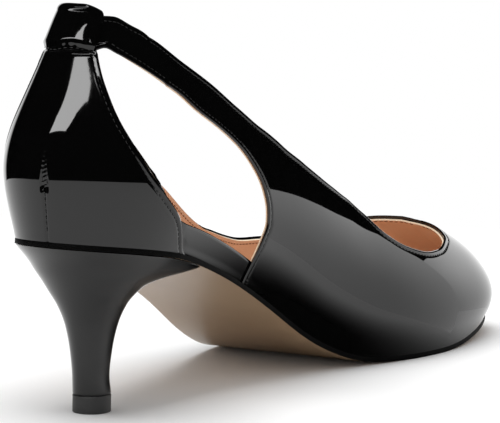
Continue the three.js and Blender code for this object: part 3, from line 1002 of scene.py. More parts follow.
@dataclass
class Vamp:
    """Forepart with the throat, and the strap that runs back from it on the inner side."""

    rows: int = 420
    outer_rows: int = 260
    ridge_rows: int = 60
    columns: int = 40
    strap_sink: float = 0.75
    # station of the sole that the rows lead to from the throat's lowest point
    sole_mark: float = 0.875
    # how far the lining's low and top edges are set back, in millimetres
    lining_back: tuple[float, float] = (1.0, 0.45)

    def halves(self, low_back: float, high_back: float) -> tuple[Ribbon, Ribbon]:
        """The inner and the outer half as ribbons that share the ridge.

        Args:
            low_back: How far the strap's lower edge is set back, in millimetres.
            high_back: How far the top edges are set back.

        Returns:
            The inner and the outer half.
        """
        rear = set_back(strap_line(), -low_back)
        inner_top = set_back(topline(Side.INNER, STRAP_END), high_back)
        ridge = ridge_line(float(inner_top.station[-1]), float(inner_top.girth[-1]))
        outer_top = set_back(topline(Side.OUTER, 0.2435), -high_back)
        outer_top.station[-1], outer_top.girth[-1] = inner_top.station[-1], inner_top.girth[-1]
        outer_top = Path(outer_top.station, outer_top.girth)
        inner_low = chain(rear, sole_line(Side.INNER, float(rear.station[-1])))
        inner_high = chain(inner_top, ridge)
        outer_low, outer_high = sole_line(Side.OUTER, VAMP_FOOT), chain(outer_top, ridge)
        corner, inner_apex = rear.length / inner_low.length, inner_top.length / inner_high.length
        outer_apex = outer_top.length / outer_high.length
        # the cut-out's front, where the low line turns down
        front = float(inner_low.at[np.argmax(rear.girth < -0.76)] / inner_low.length)
        inner = Ribbon(
            inner_low, inner_high,
            [
                (0, 0), (front, inner_high.share_at_station(0.33)), (corner, inner_high.share_at_station(0.45)),
                (self.sole_share(inner_low, self.sole_mark), inner_apex), (1, 1),
            ],
            self.rows, self.columns,
        )  # fmt: skip
        outer = Ribbon(
            outer_low, outer_high,
            [(0, 0), (self.sole_share(outer_low, self.sole_mark), outer_apex), (1, 1)],
            self.outer_rows, self.columns,
        )  # fmt: skip
        return inner, outer

    @staticmethod
    def sole_share(line: Path, station: float) -> float:
        """Share of a low line at which its last stretch, along the sole, reaches a station."""
        index = len(line.station) - 1 - int(np.argmax(line.station[::-1] < station))
        return float(line.at[index] / line.length)

    def even_ridge(self, ribbon: Ribbon) -> Place:
        """Places a half's rows so that both halves have the same ones on the ridge.

        Args:
            ribbon: The half.

        Returns:
            The function that gives stations and girths.
        """
        share = 1 - self.ridge_rows / ribbon.rows
        return lambda u, v: ribbon.place(np.interp(u, [0, share, 1], [0, ribbon.at[-2], 1]), v)

    def edge_lines(self) -> list[Path]:
        """The edges that are folded and stitched: the top edge, the strap's low edge and the outer rear edge.

        Returns:
            The lines.
        """
        top_in, top_out = topline(Side.INNER, STRAP_END), topline(Side.OUTER, -0.64)
        rim = Path(
            np.concatenate([top_in.station, top_out.station[::-1][1:]]),
            np.concatenate([top_in.girth, top_out.girth[::-1][1:]]),
        )
        return [rim, strap_line(), vamp_edge()]

    def sink(self, station: Array, girth: Array) -> Array:
        """How far the strap sinks in on its way into the loop."""
        return np.where(girth < 0, 1 - smooth_step(station, -0.6, -0.3), 0) * self.strap_sink

    def depth(self, station: Array, girth: Array, base: Array) -> Array:
        """Depth of the leather's face: folded beads along the edges and a sink where the strap enters the loop."""
        distance = np.min([near_line(base, line) for line in self.edge_lines()], axis=0)
        return self.sink(station, girth) + sewn(distance)

    def lining_depth(self, station: Array, girth: Array, base: Array) -> Array:
        """Depth of the lining's outer face, which follows the strap into the loop."""
        return LINING_DEPTH + self.sink(station, girth)

    def build(self, finishes: Finishes) -> list[Piece]:
        """Makes the vamp with its strap, and their lining.

        Args:
            finishes: The shoe's materials.

        Returns:
            The pieces.
        """
        made = []
        backs = (("vamp", self.depth, (0.0, 0.0)), ("vamp_lining", self.lining_depth, self.lining_back))
        for name, depth, back in backs:
            halves = [
                lay(name, ribbon.rows, ribbon.columns, self.even_ridge(ribbon), depth) for ribbon in self.halves(*back)
            ]
            made.append(join(halves, name, merge=2e-6))
        vamp, lining = made
        thicken(vamp, LEATHER, ROLLED)
        dress(vamp, finishes.patent)
        dress(lining, finishes.lining, finishes.edge)
        thicken(lining, LINING, CUT, rim_slot=1)
        return made


def sewn(distance: Array) -> Array:
    """Depth of a folded and stitched edge by distance from it: a raised bead, then the stitches' channel.

    Args:
        distance: Distances from the edge in millimetres.

    Returns:
        Depths in millimetres.
    """
    bead = -0.1 * bump(distance, 0.9, 0.6)
    channel = 0.24 * bump(distance, SEW_IN, 0.33)
    roll = 0.3 * np.clip(1 - distance / 0.6, 0, 1) ** 2
    return bead + channel + roll


@dataclass
class Counter:
    """Back piece round the heel, with the back seam and its puckered dart."""

    rows: int = 128
    columns: int = 270
    # girths of its top edge and of the loop's lower end, under which it sinks in
    top: float = 0.29
    leaf_end: float = 0.366
    loop_seat: float = 0.52
    # number of close columns beside the back seam, and their distance in millimetres
    seam_columns: int = 25
    seam_step: float = 0.16
    # half the dart's width at its top and how much it grows to its foot, and the same for its depth
    dart_half: tuple[float, float] = (0.25, 1.15)
    dart_depth: tuple[float, float] = (0.12, 0.36)

    def edge(self, girth: Array, side: Array) -> Array:
        """Station of the front edge at a girth, on the side told by its sign.

        Args:
            girth: Girths without their sign.
            side: -1 for the inner side and 1 for the outer, one a point.

        Returns:
            The stations.
        """
        outer = np.interp(girth, [0.25, 0.27, 0.35, 0.375, 0.42], [-0.68, -0.66, -0.57, -0.555, -0.562])
        below = OUTLINES.counter(girth)
        return np.where((side > 0) & (girth < 0.42), outer, below)

    def place(self, u: Array, v: Array) -> tuple[Array, Array]:
        """Stations and girths: rows from the sole up, columns from the inner front edge round to the outer.

        Args:
            u: Shares of the rows.
            v: Shares of the columns.

        Returns:
            Stations and girths.
        """
        side = np.where(v < 0.5, -1.0, 1.0)
        out = np.abs(v - 0.5) * 2
        girth = 1 + (self.top - 1) * u
        edge = self.edge(girth, side)
        length = np.linalg.norm(LAST.point(edge, side * girth) - LAST.point(-1.0, girth), axis=-1) * 1.1
        share = self.spread(out, length)
        return -1 + (edge + 1) * share, side * girth

    def spread(self, out: Array, length: Array) -> Array:
        """Spreads columns so that they are close together at the back seam and at the front edge.

        Args:
            out: Even shares from the back seam to the front edge.
            length: The rows' lengths in millimetres.

        Returns:
            The spread shares.
        """
        half = self.columns // 2
        index = np.rint(out * half).astype(int)
        seam = np.arange(self.seam_columns) * self.seam_step
        edge = np.array(EDGE_STEPS)
        near, far = len(seam) - 1, len(edge) - 1
        start = seam[np.clip(index, 0, near)] / length
        end = 1 - edge[np.clip(half - index, 0, far)] / length
        low, high = seam[-1] / length, 1 - edge[-1] / length
        middle = low + (high - low) * (index - near) / (half - near - far)
        return np.where(index <= near, start, np.where(half - index <= far, end, middle))

    def depth(self, station: Array, girth: Array, base: Array) -> Array:
        """Depth of the leather's face: front edges, the seat of the loop, and the back seam with its dart.

        Args:
            station: Not used.
            girth: Their girths.
            base: The last's points there.

        Returns:
            Depths in millimetres.
        """
        distance = np.min([near_line(base, counter_edge(side)) for side in Side], axis=0)
        size = np.abs(girth)
        under_loop = smooth_step(-size, -self.leaf_end - 0.004, -self.leaf_end + 0.008) * self.loop_seat
        across = np.abs(base[:, 1])
        seam = 0.3 * bump(across, 0, 0.4) * smooth_step(size, DART[1], DART[1] + 0.025)
        return sewn(distance) * smooth_step(size, 0.36, 0.38) + under_loop + seam + self.dart(size, base)

    def dart(self, size: Array, base: Array) -> Array:
        """The dart at the back seam's top: a narrow triangle that sinks and widens down to its puckered foot.

        Args:
            size: Girths without their sign.
            base: The last's points there.

        Returns:
            Depths in millimetres.
        """
        start, end = DART
        down = np.clip((size - start) / (end - start), 0, 1)
        half = self.dart_half[0] + self.dart_half[1] * down
        wall = 1 - smooth_step(np.abs(base[:, 1]), half - 0.15, half + 0.25)
        foot = 1 - smooth_step(size, end, end + 0.022)
        ripple = 0.07 * np.sin(base[:, 2] * 2 * math.pi / 1.3 + base[:, 1] * 2.0)
        deep = self.dart_depth[0] + self.dart_depth[1] * down + ripple
        return wall * foot * smooth_step(down, 0, 0.12) * deep

    def build(self, finishes: Finishes) -> list[Piece]:
        """Makes the counter.

        Args:
            finishes: The shoe's materials.

        Returns:
            The piece.
        """
        piece = lay("counter", self.rows, self.columns, self.place, self.depth)
        thicken(piece, LEATHER, ROLLED)
        dress(piece, finishes.patent)
        return [piece]


@dataclass
class Panels:
    """Low panels between counter and vamp, set in under both, and the quarter's lining."""

    rows: int = 24
    columns: int = 120
    lining_rows: int = 70
    lining_columns: int = 260
    thickness: float = 0.6
    # how far a panel reaches under its neighbours, in stations
    tuck: float = 0.03

    def panel_place(self, side: Side) -> Place:
        """Where a panel's grid lies.

        Args:
            side: The shoe's side.

        Returns:
            The function that gives stations and girths.
        """

        def place(u: Array, v: Array) -> tuple[Array, Array]:
            """Stations and girths: rows from the sole up, columns from the counter forward.

            Args:
                u: Shares of the rows.
                v: Shares of the columns.

            Returns:
                Stations and girths.
            """
            start, end = (-0.42, 0.24) if side is Side.INNER else (-0.6, 0.27)
            high_s = start + (end - start) * v
            high_g = -OUTLINES.panel_top(high_s) if side is Side.INNER else OUTLINES.outer_top(high_s)
            low_s = float(OUTLINES.counter(np.array(1.0))) - self.tuck + v * (VAMP_FOOT - 0.012 + 2 * self.tuck)
            return low_s + (high_s - low_s) * u, side * (1 + (high_g - 1) * u)

        return place

    def depth(self, station: Array, girth: Array, base: Array) -> Array:
        """Depth of a panel's face, with its rim rolled in.

        Args:
            station: The points' stations.
            girth: Their girths.
            base: Not used.

        Returns:
            Depths in millimetres.
        """
        top = np.where(girth < 0, -OUTLINES.panel_top(station), OUTLINES.outer_top(station))
        # a girth of 1 is about 90 mm long here
        distance = (np.abs(girth) - top) * 90
        return PANEL_DEPTH + np.where(girth > 0, sewn(distance), 0.3 * np.clip(1 - distance / 0.8, 0, 1) ** 2)

    def quarter_place(self, u: Array, v: Array) -> tuple[Array, Array]:
        """Where the quarter's lining lies: from the inner vamp edge round the heel to the outer.

        Args:
            u: Shares of the rows.
            v: Shares of the columns.

        Returns:
            Stations and girths.
        """
        side = np.where(v < 0.5, -1.0, 1.0)
        out = np.abs(v - 0.5) * 2
        high_s = -1 + 1.235 * out
        low_s = -1 + 1.21 * out
        inner = np.interp(high_s, [-1, -0.63, -0.575, -0.55, -0.5], [0.3, 0.3, 0.36, 0.45, 0.54])
        inner = np.where(high_s > -0.5, -OUTLINES.panel_top(high_s), inner)
        outer = np.maximum(OUTLINES.outer_top(high_s), 0.28)
        high_g = np.where(side < 0, inner, outer) + 0.005
        return low_s + (high_s - low_s) * u, side * (1 + (high_g - 1) * u)

    def build(self, finishes: Finishes) -> list[Piece]:
        """Makes the panels and the quarter's lining.

        Args:
            finishes: The shoe's materials.

        Returns:
            The pieces.
        """
        made = []
        for side in Side:
            name = side.name.lower() + "_panel"
            piece = lay(name, self.rows, self.columns, self.panel_place(side), self.depth)
            thicken(piece, self.thickness, 0.2)
            dress(piece, finishes.patent)
            made.append(piece)
        lining = lay(
            "quarter_lining", self.lining_rows, self.lining_columns, self.quarter_place,
            lambda station, girth, base: np.full(len(base), PANEL_DEPTH + 0.65),
        )  # fmt: skip
        dress(lining, finishes.lining, finishes.edge)
        thicken(lining, LINING, CUT, rim_slot=1)
        return [*made, lining]


@dataclass
class Loop:
    """Leather tab folded over the strap's end at the counter's top."""

    rows: int = 132
    columns: int = 64
    leaf: float = 0.6
    # share of the rows that each leaf takes, the fold between them having the rest
    leaf_share: float = 0.42
    # girths of the fold and of the leaves' ends
    rim: float = 0.25
    outer_end: float = 0.362
    inner_end: float = 0.33
    # in millimetres: between the leaves, up at the fold, out from the counter, and towards the outer side
    apart: float = 4.3
    lift: float = 0.5
    swell: float = 1.2
    aside: float = 0.6

    # girth, half the leaf's width in millimetres
    WIDTHS = ((0.25, 7.6), (0.29, 8.1), (0.33, 8.5), (0.362, 8.9), (0.4, 9.2))

    def base(self, across: Array, girth: Array) -> tuple[Array, Array, Array]:
        """The last's points behind a leaf.

        Args:
            across: Places across the leaf, from -1 to 1.
            girth: Girths without their sign.

        Returns:
            The points, their stations and their sides.
        """
        widths = np.array(self.WIDTHS)
        offset = across * np.interp(girth, widths[:, 0], widths[:, 1]) + self.aside
        heel = [part(1 - girth) for part in LAST.heel_parts]
        station = np.arcsin(np.clip(np.abs(offset) / LAST.half_width(heel), 0, 1)) * 2 / math.pi - 1
        side = np.where(offset < 0, -1.0, 1.0)
        return LAST.point(station, side * girth), station, side

    def wave(self, across: Array) -> Array:
        """Girth of the leaf's wavy end."""
        return self.outer_end + 0.0035 * np.sin(across * 5.2 + 0.4) + 0.003 * across

    def sewn_line(self) -> Path:
        """The line of stitches across the leaf's end.

        Returns:
            The line.
        """
        across = np.linspace(-0.97, 0.97, 80)
        girth = self.wave(across) - 0.006
        _, station, side = self.base(across, girth)
        return Path(station, side * girth)

    def build(self, finishes: Finishes) -> list[Piece]:
        """Makes the loop.

        Args:
            finishes: The shoe's materials.

        Returns:
            The piece.
        """
        piece, u, v = grid("loop", self.rows, self.columns)
        share = self.leaf_share
        across = 2 * v - 1
        down = np.clip(u / share, 0, 1) ** 0.8
        back = np.clip((u - (1 - share)) / share, 0, 1)
        turn = np.clip((u - share) / (1 - 2 * share), 0, 1) * math.pi
        start = self.wave(across)
        girth = np.where(u <= 0.5, start + (self.rim - start) * down, self.rim + (self.inner_end - self.rim) * back)
        base, station, side = self.base(across, girth)
        out = LAST.normal(station, side * girth)
        # about millimetres up from the wavy end, and the height at which the leaf has swelled out
        from_end = (start - girth) * 100
        arch = 1.9 + 1.4 * (1 - across**2)
        swelled = smooth_step(from_end / arch, 0.0, 1.0)
        pucker = 0.05 * np.sin(across * 26) * bump(from_end, 0.6, 0.7)
        outer = np.where(u <= share, -0.1 * (1 - swelled) - self.swell * swelled + pucker, -self.swell)
        place = base - out * outer[:, None]
        radius = self.apart / 2
        forward = np.where(u <= share, 0, np.where(turn < math.pi, radius * (1 - np.cos(turn)), self.apart))
        inward = -out * np.array([1.0, 1.0, 0.0])
        inward /= np.linalg.norm(inward, axis=1, keepdims=True)
        place += inward * forward[:, None]
        place[:, 2] += np.where(turn < math.pi, radius * np.sin(turn), 0)
        corners = np.clip((np.abs(across) - 0.6) / 0.4, 0, 1) ** 2
        rise = self.lift * (1 - 0.4 * smooth_step(across, 0.1, 1.0)) - 1.7 * corners
        place[:, 2] += rise * (1 - smooth_step(girth, self.rim, self.outer_end))
        set_positions(piece, place * MM)
        face_out(piece, station, side * girth)
        thicken(piece, self.leaf, 0.28)
        dress(piece, finishes.patent)
        return [piece]


@dataclass
class Bottom:
    """Outsole and insole."""

    rows: int = 420
    columns: int = 48
    # share of the rows that turn round the heel's back
    fan: float = 0.2
    sock_inset: float = 2.0
    sock_thickness: float = 1.2

    def plate(self, name: str, inset: float, low: Callable[[Array], Array], thickness: float) -> Piece:
        """A plate's top that fills the sole's outline.

        Args:
            name: The piece's name.
            inset: Distance inside the wall's outer face in millimetres.
            low: Gives the underside's height by place along the sole.
            thickness: The plate's thickness in millimetres.

        Returns:
            The top, still to be thickened.
        """
        piece, u, v = grid(name, self.rows, self.columns)
        turn = np.clip(u / self.fan, 0, 1) - 1
        ahead = np.clip((u - self.fan) / (1 - self.fan), 0, 1)
        places = LAST.across_sole(np.where(u <= self.fan, turn, 1 - (1 - ahead) ** 1.7), v, inset)
        places[:, 2] = (low(places[:, 0] / MM) + thickness) * MM
        set_positions(piece, places)
        edit(piece, partial(bpy.ops.mesh.remove_doubles, threshold=1e-5), bpy.ops.mesh.normals_make_consistent)
        if piece.data.polygons[len(piece.data.polygons) // 2].normal.z < 0:
            edit(piece, bpy.ops.mesh.flip_normals)
        return piece

    def build(self, finishes: Finishes) -> list[Piece]:
        """Makes the outsole and the insole.

        Args:
            finishes: The shoe's materials.

        Returns:
            The pieces.
        """
        outsole = self.plate("sole", 0.0, LAST.sole_bottom, LAST.sole_thickness)
        dress(outsole, finishes.ink, finishes.sole)
        thicken(outsole, LAST.sole_thickness, 0.35, under_slot=1)
        insole = self.plate("sock", self.sock_inset, LAST.wall_bottom, self.sock_thickness)
        dress(insole, finishes.lining, finishes.edge)
        thicken(insole, self.sock_thickness, 0.3)
        return [outsole, insole]


@dataclass
class Heel:
    """Covered kitten heel and its rubber top piece."""

    seat: float = LAST.seat_width
    tip_height: float = 5.4
    tip_length: float = 11.8
    tip_width: float = 11.0
    sharpness: float = 2.3
    around: int = 128
    rows: int = 90

    # height in heel heights, then back, widest place and front from the tip's middle, and half width, in seat widths
    SECTIONS = (
        (0.21, -0.13, -0.012, 0.1, 0.106), (0.362, -0.148, -0.014, 0.118, 0.12), (0.517, -0.18, -0.019, 0.16, 0.152),
        (0.62, -0.222, -0.025, 0.214, 0.196), (0.7, -0.264, -0.03, 0.295, 0.245), (0.75, -0.296, -0.018, 0.38, 0.273),
        (0.782, -0.317, -0.003, 0.49, 0.292), (0.8, -0.329, 0.009, 0.575, 0.305), (0.819, -0.342, 0.024, 0.68, 0.322),
        (0.86, -0.368, 0.081, 0.79, 0.361), (0.907, -0.402, 0.109, 0.84, 0.412), (0.965, -0.455, 0.093, 0.84, 0.474),
        (1.03, -0.515, 0.063, 0.84, 0.512),
    )  # fmt: skip

    def ring(self, back: Array, middle: Array, front: Array, half: Array, turn: Array,
             square: Array) -> tuple[Array, Array]:  # fmt: skip
        """Level outline, round at the back and flatter in front.

        Args:
            back: Rear end of the outline.
            middle: Its widest place.
            front: Front end.
            half: Half its width.
            turn: Angle round it.
            square: How square its front corners are.

        Returns:
            Places along and across the shoe.
        """
        forward, aside = np.cos(turn), np.sin(turn)
        power = np.where(forward > 0, 2 / square, 1.0)
        bend = lambda value: np.sign(value) * np.abs(value) ** power
        reach = np.where(forward > 0, front - middle, middle - back)
        return middle + reach * bend(forward), half * bend(aside)

    def column(self, name: str, rings: int, low: float, high: float) -> tuple[Piece, Array, Array]:
        """A plain upright column of rings to be shaped.

        Args:
            name: The piece's name.
            rings: Number of faces up the column.
            low: Height of its foot.
            high: Height of its top.

        Returns:
            The piece, each point's height and its angle round the column.
        """
        deselect()
        bpy.ops.mesh.primitive_cylinder_add(vertices=self.around, radius=1, depth=2, end_fill_type="NGON")
        piece = bpy.context.object
        piece.name = piece.data.name = name
        cuts = [(0, 0, -1 + 2 * i / rings) for i in range(1, rings)]
        edit(piece, *[partial(bpy.ops.mesh.bisect, plane_co=cut, plane_no=(0, 0, 1)) for cut in cuts])
        flat = positions(piece)
        return piece, low + (high - low) * (flat[:, 2] + 1) / 2, np.arctan2(flat[:, 1], flat[:, 0])

    def build(self, finishes: Finishes) -> list[Piece]:
        """Makes the heel and its top piece.

        Args:
            finishes: The shoe's materials.

        Returns:
            The pieces.
        """
        rows = np.array(self.SECTIONS)
        foot = self.tip_height + LAST.gap
        heights = np.concatenate([[foot], rows[:, 0] * LAST.heel_height])
        firsts = (-self.tip_length / 2, 0.0, self.tip_length / 2, self.tip_width / 2)
        curves = [
            Curve(heights, np.concatenate([[first], column * self.seat]), even=0.3)
            for first, column in zip(firsts, rows[:, 1:].T)
        ]
        heel, height, turn = self.column("heel_block", self.rows, foot, heights[-1])
        square = self.sharpness + 1.7 * smooth_step(height / LAST.heel_height, 0.72, 0.82)
        x, _ = self.ring(*[curve(height) for curve in curves], turn, square)
        # the width follows the slanted seat, so the cover meets the sole's edge all the way forward
        slant = np.clip(LAST.heel_height - LAST.sole_bottom(x), 0, None)
        along_seat = height + slant * smooth_step(height / LAST.heel_height, 0.62, 0.84)
        x, y = self.ring(*[curve(height) for curve in curves[:3]], curves[3](along_seat), turn, square)
        set_positions(heel, np.stack([x, y, height], -1) * MM)
        block = self.under_sole()
        apply(heel, "BOOLEAN", operation="INTERSECT", solver="EXACT", object=block)
        bpy.data.objects.remove(block)
        round_edges(heel, 0.25, 2, 45)
        dress(heel, finishes.patent)
        tip, height, turn = self.column("top_piece", 6, 0, self.tip_height)
        half = np.full_like(height, self.tip_width / 2)
        end = np.full_like(height, self.tip_length / 2)
        x, y = self.ring(-end, 0 * end, end, half, turn, np.full_like(height, self.sharpness))
        set_positions(tip, np.stack([x, y, height], -1) * MM)
        round_edges(tip, 0.35, 3, 45)
        dress(tip, finishes.rubber)
        return [heel, tip]

    def under_sole(self) -> Piece:
        """The room under the sole and inside its edge, which the heel's top is cut to.

        Returns:
            The room as a solid piece.
        """
        piece, u, v = grid("room", 160, 24)
        station = np.where(u <= 0.6, u / 0.6 - 1, (u - 0.6) / 0.4 * 0.3)
        places = LAST.across_sole(station, v, 0.0)
        places[:, 2] = (LAST.sole_bottom(places[:, 0] / MM) - LAST.gap) * MM
        set_positions(piece, places)
        edit(
            piece,
            partial(bpy.ops.mesh.remove_doubles, threshold=1e-6),
            partial(bpy.ops.mesh.extrude_region_move, TRANSFORM_OT_translate={"value": (0, 0, -0.1)}),
            bpy.ops.mesh.normals_make_consistent,
        )
        return piece


@dataclass
class Stitches:
    """Rows of stitches, each one thread bead modelled once and copied."""

    pitch: float = 1.75
    length: float = 1.25
    thick: float = 0.34
    # depths of the rows that don't lie in a sewn edge's channel, in millimetres
    dart_depth: float = 0.45
    seam_depth: float = 0.22
    loop_depth: float = -0.14
    lining_depth: float = 1.78
    quarter_depth: float = 2.06

    def bead(self) -> tuple[Array, list[tuple[int, ...]]]:
        """One stitch, lying along X, in millimetres.

        Returns:
            Its points and faces.
        """
        deselect()
        bpy.ops.mesh.primitive_uv_sphere_add(segments=8, ring_count=5, radius=0.5)
        piece = bpy.context.object
        places = positions(piece)[:, [2, 0, 1]] * (self.length, self.thick, self.thick)
        faces = [tuple(face.vertices) for face in piece.data.polygons]
        bpy.data.objects.remove(piece)
        return places, faces

    def row(self, name: str, line: Path, inset: float, depth: float, material: Material,
            start: float = 0.0, end: float = 0.0) -> Piece:  # fmt: skip
        """A row of stitches beside an edge.

        Args:
            name: The row's name.
            line: The edge.
            inset: Distance from the edge in millimetres, to the line's right.
            depth: Depth of the stitches' middle.
            material: The thread's material.
            start: Length in millimetres left bare at the line's start.
            end: Length left bare at its end.

        Returns:
            The row as one piece.
        """
        places, faces = self.bead()
        count = int((line.length - start - end) / self.pitch)
        at = (start + self.pitch * (np.arange(count) + 0.5)) / line.length
        ends = [self.offset(line, at + shift / line.length, inset, depth) for shift in (-0.4, 0.4)]
        middle, out = self.offset(line, at, inset, depth)
        along = ends[1][0] - ends[0][0]
        along /= np.linalg.norm(along, axis=-1, keepdims=True)
        aside = np.cross(out, along)
        points = (
            middle[:, None]
            + along[:, None] * places[None, :, :1]
            + aside[:, None] * places[None, :, 1:2]
            + out[:, None] * places[None, :, 2:]
        ).reshape(-1, 3)
        every = [tuple(i + k * len(places) for i in face) for k in range(count) for face in faces]
        mesh = bpy.data.meshes.new(name)
        mesh.from_pydata((points * MM).tolist(), [], every)
        piece = bpy.data.objects.new(name, mesh)
        bpy.context.scene.collection.objects.link(piece)
        smooth(piece, 80)
        dress(piece, material)
        return piece

    @staticmethod
    def offset(line: Path, share: Array, inset: float, depth: float) -> tuple[Array, Array]:
        """Points beside a line, and the last's outward directions there.

        Args:
            line: The line.
            share: Shares of its length.
            inset: Distance to its right in millimetres.
            depth: Depth inside the last in millimetres.

        Returns:
            The points and the directions.
        """
        station, girth = beside(line, share, inset)
        normal = LAST.normal(station, girth)
        return LAST.point(station, girth) - normal * depth, normal

    def build(self, finishes: Finishes) -> list[Piece]:
        """Makes all rows on the upper.

        Args:
            finishes: The shoe's materials.

        Returns:
            The rows.
        """
        black, brown = finishes.thread, finishes.tan_thread
        top_in, top_out = topline(Side.INNER, -0.52), topline(Side.OUTER, -0.5)
        inner_edge, outer_edge = [counter_edge(side) for side in Side]
        start, end = DART
        girth = np.linspace(start + 0.008, end, 40)
        spread = 2 / math.pi / (LAST.heel_wall_width / 2) * (0.15 + 0.75 * np.linspace(0, 1, 40))
        seam = Path(np.full(40, -0.9999), np.linspace(end + 0.015, 0.985, 40))
        # name, line, distance from it, depth, thread, and the lengths left bare at the start and at the end
        rows = (
            ("dart_stitches_inner", Path(-1 + spread, -girth), 0, self.dart_depth, black),
            ("dart_stitches_outer", Path(-1 + spread, girth), 0, self.dart_depth, black, 0.8),
            ("seam_stitches", seam, 0, self.seam_depth, black),
            ("loop_stitches", Loop().sewn_line(), 0, self.loop_depth, black),
            ("counter_stitches_inner", inner_edge.part(0.1, 1), SEW_IN, SEW_DEPTH, black, 0.6, 1.0),
            ("counter_stitches_outer", outer_edge.part(0.02, 1), -SEW_IN, SEW_DEPTH, black, 0.6, 1.0),
            ("strap_stitches", strap_line().part(0.09, 1), -SEW_IN, SEW_DEPTH, black, 0.5, 1.0),
            ("rim_stitches_inner", top_in, SEW_IN, SEW_DEPTH, black, 0.5, 0.4),
            ("rim_stitches_outer", top_out, -SEW_IN, SEW_DEPTH, black, 0.5, 0.4),
            ("lining_stitches_inner", top_in, SEW_IN, self.lining_depth, brown, 0.5, 0.4),
            ("lining_stitches_outer", top_out.part(0.45, 1), -SEW_IN, self.lining_depth, brown, 0.5, 0.4),
            ("quarter_stitches", top_out.part(0, 0.45), -SEW_IN, self.quarter_depth, brown, 0.5, 0.4),
        )
        return [self.row(*row) for row in rows]


def direction(azimuth: float, elevation: float) -> Vector:
    """Direction by its angle from +X to +Y and its height, both in degrees."""
    a, e = math.radians(azimuth), math.radians(elevation)
    return Vector((math.cos(a) * math.cos(e), math.sin(a) * math.cos(e), math.sin(e)))


